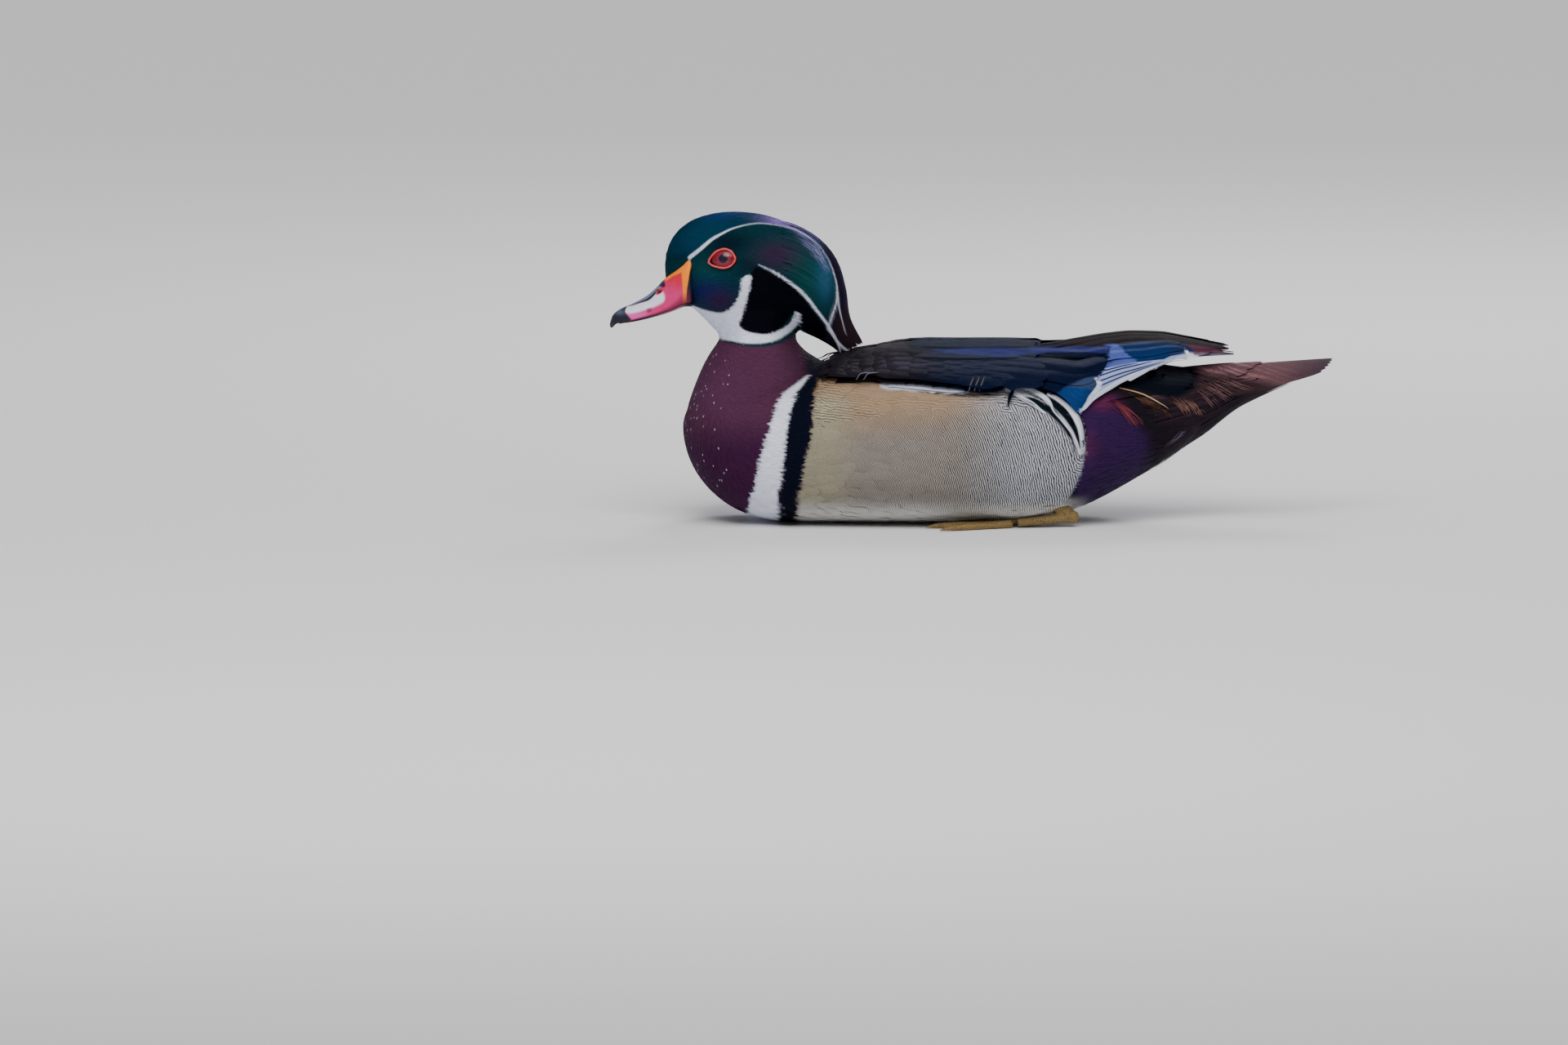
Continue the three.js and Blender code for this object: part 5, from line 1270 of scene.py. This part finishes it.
def makeBill():
    t = np.linspace(0, 1, bill["stations"])
    x = mixed(bill["tip"] + 0.15, bill["root"], t ** 1.25)[:, None]
    angle = ((np.arange(bill["around"] + 1) / bill["around"]) - 0.5)[None] * math.pi
    square = bill["square"](x)
    tall = bill["culmen"](x) - bill["mouth"](x)
    y = bill["width"](x) * power(np.sin(angle), 2 / square)
    z = bill["mouth"](x) + tall * power(np.cos(angle), 2 / square)
    nx, nz = bill["nostril"]
    lean, rise = bill["nostrilLean"]
    for sign in (-1, 1):  # the nostril sinks in
        dent = np.exp(-(((x - nx) * lean + (z - nz) * rise) / 1.9) ** 2
                      - (((z - nz) * lean - (x - nx) * rise) / 0.85) ** 2)
        y = y - sign * bill["nostrilDeep"] * dent * (np.sign(y) == sign)
    upper = np.stack(np.broadcast_arrays(x, y, z), -1)
    under = upper[:, 1:-1][:, ::-1].copy()
    under[..., 2] = bill["mouth"](under[..., 0]) + 0.12
    rings = np.concatenate([upper, under], 1)
    vertices, faces = skinned(rings, (bill["tip"], 0, 110), (bill["root"], 0, 134))
    upperBill = meshObject("billUpper", vertices, faces)
    colour = billColour(vertices)
    lengthways = (vertices[:, 0] - nx) * lean + (vertices[:, 2] - nz) * rise
    sideways = (vertices[:, 2] - nz) * lean - (vertices[:, 0] - nx) * rise
    hole, onSide = (lengthways / 2.1) ** 2 + (sideways / 1.0) ** 2, np.abs(vertices[:, 1]) > 4
    colour = layer(colour, bill["rim"], smooth(1.5, 1.1, hole) * onSide)
    # painted shade: the nostril's opening darkened to near black
    colour = layer(colour, tint(40, 12, 18), smooth(0.6, 0.3, hole) * onSide)
    paint(upperBill.data, coat=np.column_stack([colour, np.ones(len(vertices))]))
    shadeSmooth(upperBill.data, 60)

    lowerTip = bill["lowerTip"]
    depth = profile((lowerTip, 0.7), (-185, 1.3), (-170, 1.6), (-160, 2.2), (-154, 4))
    x = mixed(lowerTip, bill["root"], np.linspace(0, 1, 70) ** 1.2)[:, None]
    angle = ((np.arange(33) / 32) - 0.5)[None] * math.pi
    y = (bill["width"](x) - 1.2) * np.sin(angle)
    z = bill["mouth"](x) - 0.35 - depth(x) * np.cos(angle) ** 0.6
    lowerRings = np.stack(np.broadcast_arrays(x, y, z), -1)
    vertices, faces = skinned(lowerRings, (lowerTip - 0.6, 0, 110), (bill["root"], 0, 120.5))
    lowerBill = meshObject("billLower", vertices, faces)
    shade = mixed(tint(150, 84, 112), tint(60, 20, 40), smooth(-166, -182, vertices[:, 0])[:, None])
    # painted shade: the lower bill turns near black at its root, where it goes in under the head's feathers
    shade = mixed(shade, tint(20, 16, 28), smooth(-162, -158, vertices[:, 0])[:, None])
    paint(lowerBill.data, coat=np.column_stack([shade, np.ones(len(vertices))]))
    shadeSmooth(lowerBill.data, 60)
    return upperBill, lowerBill


# Eyes and lids
def eyeFrame(side):  # the eye's middle, and its forward, outward and upward directions on the head
    x, z, step = eye["x"], eye["z"], 0.5
    slopeX = (headSide(x + step, z) - headSide(x - step, z)) / (2 * step)
    slopeZ = (headSide(x, z + step) - headSide(x, z - step)) / (2 * step)
    out = unit(np.array([-slopeX, 1.0, -slopeZ]))
    ahead = unit(np.array([-1, 0, 0]) + out * out[0])
    up = np.cross(out, ahead)
    middle = np.array([x, float(headSide(x, z)), z]) - out * eye["sunk"]
    flip = np.array([1, side, 1])
    return middle * flip, ahead * flip, out * flip, up * flip


def makeEye(name, side):
    tilt, turn = np.linspace(-1, 1, 61)[1:-1] * math.pi / 2, np.linspace(0, 2 * math.pi, 72, endpoint=False)
    middle, ahead, out, up = eyeFrame(side)
    place = lambda a, b, c: (middle + ahead * np.asarray(a)[..., None] * eye["wide"]
                             + out * np.asarray(b)[..., None] * eye["deep"]
                             + up * np.asarray(c)[..., None] * eye["high"])
    rings = place(np.cos(tilt)[:, None] * np.cos(turn), np.sin(tilt)[:, None] + 0 * turn,
                  np.cos(tilt)[:, None] * np.sin(turn))
    vertices, faces = skinned(rings, place(0.0, -1.0, 0.0), place(0.0, 1.0, 0.0))
    ball = meshObject(name, vertices, faces)
    spread = vertices - middle
    fromPupil = np.hypot(spread @ ahead, spread @ up) / eye["irisReach"]
    fromLids = np.hypot((spread @ ahead) / eye["opening"][0], (spread @ up) / eye["opening"][1])
    reach = np.maximum(np.minimum(fromPupil, 0.66), 0.86 * smooth(0.74, 1.0, fromLids))
    paint(ball.data, reach=np.where(spread @ out > 0, reach, 1))
    shadeSmooth(ball.data)
    return ball


def makeLid(name, side):  # a fleshy rim round the almond opening
    section = np.linspace(0, 2 * math.pi, 14, endpoint=False)
    line = curved(eye["lids"], True, 9)
    middle = line.mean(0)
    line = middle + (line - middle) * 0.94
    x = line[:, 0]
    z = (line[:, 1] + 1.95) / math.cos(viewTilt)
    out = unit(np.stack([x - x.mean(), 0 * x, (z - z.mean()) * 1.3], -1))
    thick = eye["lidThick"] * (1 + 0.1 * np.sin(np.arange(len(x)) * 0.55))
    y = headSide(x, z)[:, None] + 0.25 + thick[:, None] * np.sin(section)
    rings = (np.stack(np.broadcast_arrays(x[:, None], side * y, z[:, None]), -1)
             + out[:, None] * (thick[:, None] * np.cos(section))[..., None])
    count, size = rings.shape[:2]
    faces = [(i * size + k, ((i + 1) % count) * size + k, ((i + 1) % count) * size + (k + 1) % size,
              i * size + (k + 1) % size) for i in range(count) for k in range(size)]
    lid = meshObject(name, rings.reshape(-1, 3), faces)
    shadeSmooth(lid.data)
    return lid


# Materials
class Wire:  # a node's output; arithmetic on it adds Math nodes
    def __init__(self, finish, socket):
        self.finish, self.socket = finish, socket

    def maths(self, operation, other, swapped=False):
        values = (other, self) if swapped else (self, other)
        return self.finish.node("ShaderNodeMath", {"operation": operation}, dict(enumerate(values)))

    def __add__(self, other):
        return self.maths("ADD", other)

    def __sub__(self, other):
        return self.maths("SUBTRACT", other)

    def __mul__(self, other):
        return self.maths("MULTIPLY", other)

    def __truediv__(self, other):
        return self.maths("DIVIDE", other)

    def __pow__(self, other):
        return self.maths("POWER", other)

    def __rsub__(self, other):
        return self.maths("SUBTRACT", other, True)

    def __rtruediv__(self, other):
        return self.maths("DIVIDE", other, True)

    __radd__, __rmul__ = __add__, __mul__


class Finish:  # a material whose shader takes fixed values and links
    def __init__(self, name, fixed):
        self.material = bpy.data.materials.new(name)
        self.material.use_nodes = True
        self.tree = self.material.node_tree
        self.shader = next(n for n in self.tree.nodes if n.type == "BSDF_PRINCIPLED")
        for key, value in fixed.items():
            self.shader.inputs[key].default_value = value

    def node(self, kind, settings, inputs, output=0):
        made = self.tree.nodes.new(kind)
        for key, value in settings.items():
            if key == "stops":
                while len(made.color_ramp.elements) < len(value):
                    made.color_ramp.elements.new(0.5)
                for element, (place, colour) in zip(made.color_ramp.elements, value):
                    element.position, element.color = place, (*colour, 1)
            else:
                setattr(made, key, value)
        for key, value in inputs.items():
            if isinstance(value, Wire):
                self.tree.links.new(value.socket, made.inputs[key])
            else:
                made.inputs[key].default_value = value
        return Wire(self, made.outputs[output])

    def field(self, name, output="Fac"):
        return self.node("ShaderNodeAttribute", {"attribute_name": name}, {}, output)

    def noise(self, scale, detail=3, rough=0.6, stretch=(1, 1, 1)):
        place = self.node("ShaderNodeTexCoord", {}, {}, "Object")
        spread = self.node("ShaderNodeMapping", {}, {"Vector": place, "Scale": stretch})
        return self.node("ShaderNodeTexNoise", {}, {"Vector": spread, "Scale": scale, "Detail": detail,
                                                    "Roughness": rough})

    def ranged(self, value, low, high, toLow=0.0, toHigh=1.0):
        return self.node("ShaderNodeMapRange", {"clamp": True},
                         {0: value, 1: low, 2: high, 3: toLow, 4: toHigh})

    def tone(self, colour, factor):  # a colour made lighter or darker by a value
        grey = self.node("ShaderNodeCombineColor", {}, {0: factor, 1: factor, 2: factor})
        return self.node("ShaderNodeMix", {"data_type": "RGBA", "blend_type": "MULTIPLY"},
                         {0: 1.0, 6: colour, 7: grey}, 2)

    def blend(self, share, a, b):
        return self.node("ShaderNodeMix", {"data_type": "RGBA"}, {0: share, 6: a, 7: b}, 2)

    def feed(self, **links):
        for key, value in links.items():
            self.tree.links.new(value.socket, self.shader.inputs[key.replace("_", " ")])

    def bump(self, height, strength, distance):
        self.feed(Normal=self.node("ShaderNodeBump", {},
                                   {"Height": height, "Strength": strength, "Distance": distance * metre}))


plumage = {
    "barbsPerMm": 2.4, "barbSlant": 1.1, "barbTone": 0.05, "barTone": 0.06, "sheenTint": (0.5, 0.55, 0.7, 1),
    "glossyRough": (0.6, 0.34), "softRough": (0.74, 0.5),
}


def featherFinish(name, rough, shine):  # rough where a feather is dull, shine where it is glossy
    finish = Finish(name, {"Specular IOR Level": 0.05, "Specular Tint": plumage["sheenTint"]})
    colour = finish.field("coat", "Color")
    gloss = finish.field("coat", "Alpha")
    lie = finish.field("lie", "Vector")
    split = lambda k: finish.node("ShaderNodeSeparateXYZ", {}, {0: lie}, k)
    across, along, phase = split(0), split(1), split(2)
    lean = along + across.maths("ABSOLUTE", 0.0) * plumage["barbSlant"]
    coarse = finish.noise(240, 2)
    barbs = (lean * (plumage["barbsPerMm"] * 2 * math.pi) + coarse * 3.0).maths("SINE", 0.0)
    fine = finish.noise(900, 3)
    lines = ((phase * (2 * math.pi) + finish.noise(250, 2) * 9.0 - 4.5).maths("SINE", 0.0)) * 1.5 + 0.42
    lines = finish.ranged(lines, 0.0, 1.0)
    bars = lines * finish.field("barring")
    shade = (fine - 0.5) * 0.35 + barbs * plumage["barbTone"] + 1.0
    tinted = finish.tone(colour, shade)
    dark = finish.tone(tinted, plumage["barTone"])
    finish.feed(Base_Color=finish.blend(bars, tinted, dark),
                Roughness=finish.ranged(gloss, 0, 1, rough, shine) + (coarse - 0.5) * 0.16,
                Metallic=gloss * 0.35)
    finish.bump(barbs + fine * 0.8, 0.35, 0.12)
    return finish.material


def hornFinish():
    finish = Finish("billHorn", {"Coat Roughness": 0.18, "Specular IOR Level": 0.25,
                                 "Subsurface Weight": 0.08, "Subsurface Radius": (0.002, 0.0008, 0.0005)})
    soft, fine = finish.noise(160, 3), finish.noise(1500, 2)
    finish.feed(Base_Color=finish.tone(finish.field("coat", "Color"), (soft - 0.5) * 0.4 + 1.0),
                Roughness=finish.ranged(soft, 0.3, 0.7, 0.3, 0.45),
                Coat_Weight=finish.ranged(soft, 0.3, 0.7, 0.08, 0.22))
    finish.bump(soft * 1.5 + fine * 0.3, 0.3, 0.25)
    return finish.material


def eyeFinish():
    finish = Finish("eyeGlass", {"Roughness": 0.3, "Coat Roughness": 0.04, "Specular IOR Level": 0.1})
    reach = finish.field("reach") + (finish.noise(900, 3) - 0.5) * 0.03
    colour = finish.node("ShaderNodeValToRGB", {"stops": [
        (0.0, tint(24, 20, 34)), (0.29, tint(22, 20, 36)), (0.33, tint(46, 22, 40)),
        (0.37, tint(122, 38, 58)),
        (0.5, tint(122, 24, 44)), (0.66, tint(104, 16, 32)), (0.76, tint(88, 10, 24)),
        (0.84, tint(42, 5, 14))]}, {0: reach})
    finish.feed(Base_Color=colour, Coat_Weight=finish.ranged(reach, 0, 1, 0.45, 0.4))
    return finish.material


def lidFinish():
    finish = Finish("lidSkin", {"Roughness": 0.5, "Subsurface Weight": 0.1,
                                "Subsurface Radius": (0.002, 0.0008, 0.0005)})
    grain = finish.noise(1200, 3)
    finish.feed(Base_Color=finish.tone(finish.blend(finish.noise(300, 2), (*tint(216, 66, 66), 1),
                                                    (*tint(190, 46, 56), 1)), (grain - 0.5) * 0.5 + 1.0),
                Roughness=finish.ranged(grain, 0.3, 0.7, 0.38, 0.6))
    finish.bump(grain, 0.5, 0.2)
    return finish.material


def legFinish():
    finish = Finish("legSkin", {"Specular IOR Level": 0.4})
    place = finish.node("ShaderNodeTexCoord", {}, {}, "Object")
    cells = finish.node("ShaderNodeTexVoronoi", {"feature": "DISTANCE_TO_EDGE"},
                        {"Vector": place, "Scale": 900.0})
    grain = finish.noise(700, 3)
    colour = finish.blend(finish.ranged(cells, 0.0, 0.12), (*tint(72, 58, 34), 1), (*tint(134, 110, 62), 1))
    finish.feed(Base_Color=finish.tone(colour, (grain - 0.5) * 0.6 + 1.0),
                Roughness=finish.ranged(grain, 0.3, 0.7, 0.45, 0.68))
    finish.bump(finish.ranged(cells, 0.0, 0.15) + grain * 0.3, 0.5, 0.3)
    return finish.material


def clothe(thing, material, slot, *nodes):
    thing.data.materials.clear()
    thing.data.materials.append(material)
    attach(thing, "root")
    if nodes:
        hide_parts(*nodes)
    return thing


skin = makeSkin()
skinPoints = vertexArray(skin.data) / metre
skinColour, skinBars = coatMarks(skinPoints)
skinU, skinV = sideView(skinPoints)
paint(skin.data, coat=np.column_stack([skinColour, np.full(len(skinPoints), 0.3)]), barring=skinBars,
      lie=np.column_stack([skinPoints[:, 1], skinPoints[:, 0],
                           waveCount(skinU, skinV, barDepth(skinU, skinV) > 0.5)]))
print("skin made:", len(skin.data.polygons), "faces")

glossyCoat = featherFinish("glossyPlumage", *plumage["glossyRough"])
softCoat = featherFinish("softPlumage", *plumage["softRough"])
clothe(skin, softCoat, "breast", "head", "neck", "breast", "torso", "rump")
feathers, skinBed = growCoat(skin)
slots = {"crown": "head", "cheek": "head", "neck": "breast", "breast": "breast", "flank": "flank",
         "belly": "flank", "rump": "rump", "back": "wing"}
for name, thing in feathers.items():
    clothe(thing, glossyCoat if name in ("crown", "cheek", "rump", "neck") else softCoat, slots[name])
print("body feathers made")

clothe(makeCrest(), glossyCoat, "head", "crest")
for name, side in sides.items():
    clothe(makeWing("wing" + name.title(), side), glossyCoat, "wing", "wing_" + name)
tailThing = clothe(makeTail(), glossyCoat, "tail", "tail")
lobeThing = clothe(makeLobe(skinBed), glossyCoat, "rump")
clothe(makePlumes(bedOf(skin, feathers["rump"], tailThing, lobeThing)), glossyCoat, "rump")
clothe(makeEdgeFeathers(skinBed), softCoat, "flank")
print("crest, wings, tail and plumes made")

horn, iris, lidSkin = hornFinish(), eyeFinish(), lidFinish()
upperBill, lowerBill = makeBill()
clothe(upperBill, horn, "bill", "bill_upper")
clothe(lowerBill, horn, "bill_lower", "bill_lower")
for name, side in sides.items():
    clothe(makeEye("eye" + name.title(), side), iris, "eye", "eye_" + name)
    clothe(makeLid("lid" + name.title(), side), lidSkin, "eye")
print("bill and eyes made")

legSkin = legFinish()
for part in ("leg", "foot"):
    for name in sides:
        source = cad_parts[part + "_" + name]
        thing = bpy.data.objects.new(part + name.title(), source.data.copy())
        bpy.context.scene.collection.objects.link(thing)
        finished(thing, ("REMESH", {"mode": "VOXEL", "voxel_size": 0.0005}),
                 ("SMOOTH", {"factor": 0.5, "iterations": 6}))
        shadeSmooth(thing.data)
        clothe(thing, legSkin, "leg", part + "_" + name)
print("legs and feet made")

# Studio
studio = {"floor": 20000, "floorTone": (0.86, 0.86, 0.88, 1), "aim": (-0.1041, 0, -0.0014), "away": 12.0,
          "lens": 495.0}
far = studio["floor"]
floor = meshObject("floor", [(-far, -far, 0), (far, -far, 0), (far, far, 0), (-far, far, 0)], [(0, 1, 2, 3)])
floorFinish = Finish("floorPaper", {"Base Color": studio["floorTone"], "Roughness": 0.9})
floor.data.materials.append(floorFinish.material)


def hang(name, lamp, place, aim):
    thing = bpy.data.objects.new(name, lamp)
    bpy.context.scene.collection.objects.link(thing)
    thing.location = place
    thing.rotation_euler = (Vector(aim) - Vector(place)).to_track_quat("-Z", "Y").to_euler()


def softLight(name, place, aim, size, watts, colour):
    lamp = bpy.data.lights.new(name, "AREA")
    lamp.shape, lamp.size, lamp.energy, lamp.color = "DISK", size, watts, colour
    hang(name, lamp, place, aim)


broad = bpy.data.lights.new("broadLight", "SUN")
broad.energy, broad.angle, broad.color = 1.9, 0.8, (1, 0.98, 0.95)
hang("broadLight", broad, (0.3, -1.4, 1.7), (0, 0, 0))
softLight("keyLight", (-0.3, -1.5, 1.3), (0, 0, 0.08), 0.9, 14, (1, 0.97, 0.93))
softLight("rimLight", (0.4, 1.4, 1.3), (0, 0, 0.08), 0.8, 12, (1, 0.98, 1))
world = bpy.data.worlds.new("studioAir")
world.use_nodes = True
world.node_tree.nodes["Background"].inputs["Color"].default_value = (0.86, 0.88, 0.92, 1)
world.node_tree.nodes["Background"].inputs["Strength"].default_value = 0.4
bpy.context.scene.world = world

camera = bpy.data.cameras.new("sideCamera")
camera.sensor_fit, camera.sensor_width, camera.lens = "HORIZONTAL", 36, studio["lens"]
camera.clip_start, camera.clip_end = 0.1, 40
viewer = bpy.data.objects.new("sideCamera", camera)
bpy.context.scene.collection.objects.link(viewer)
back = Vector((0, -math.cos(viewTilt), math.sin(viewTilt)))
viewer.location = Vector(studio["aim"]) + back * studio["away"]
viewer.rotation_euler = (-back).to_track_quat("-Z", "Y").to_euler()
bpy.context.scene.camera = viewer
print("studio made")
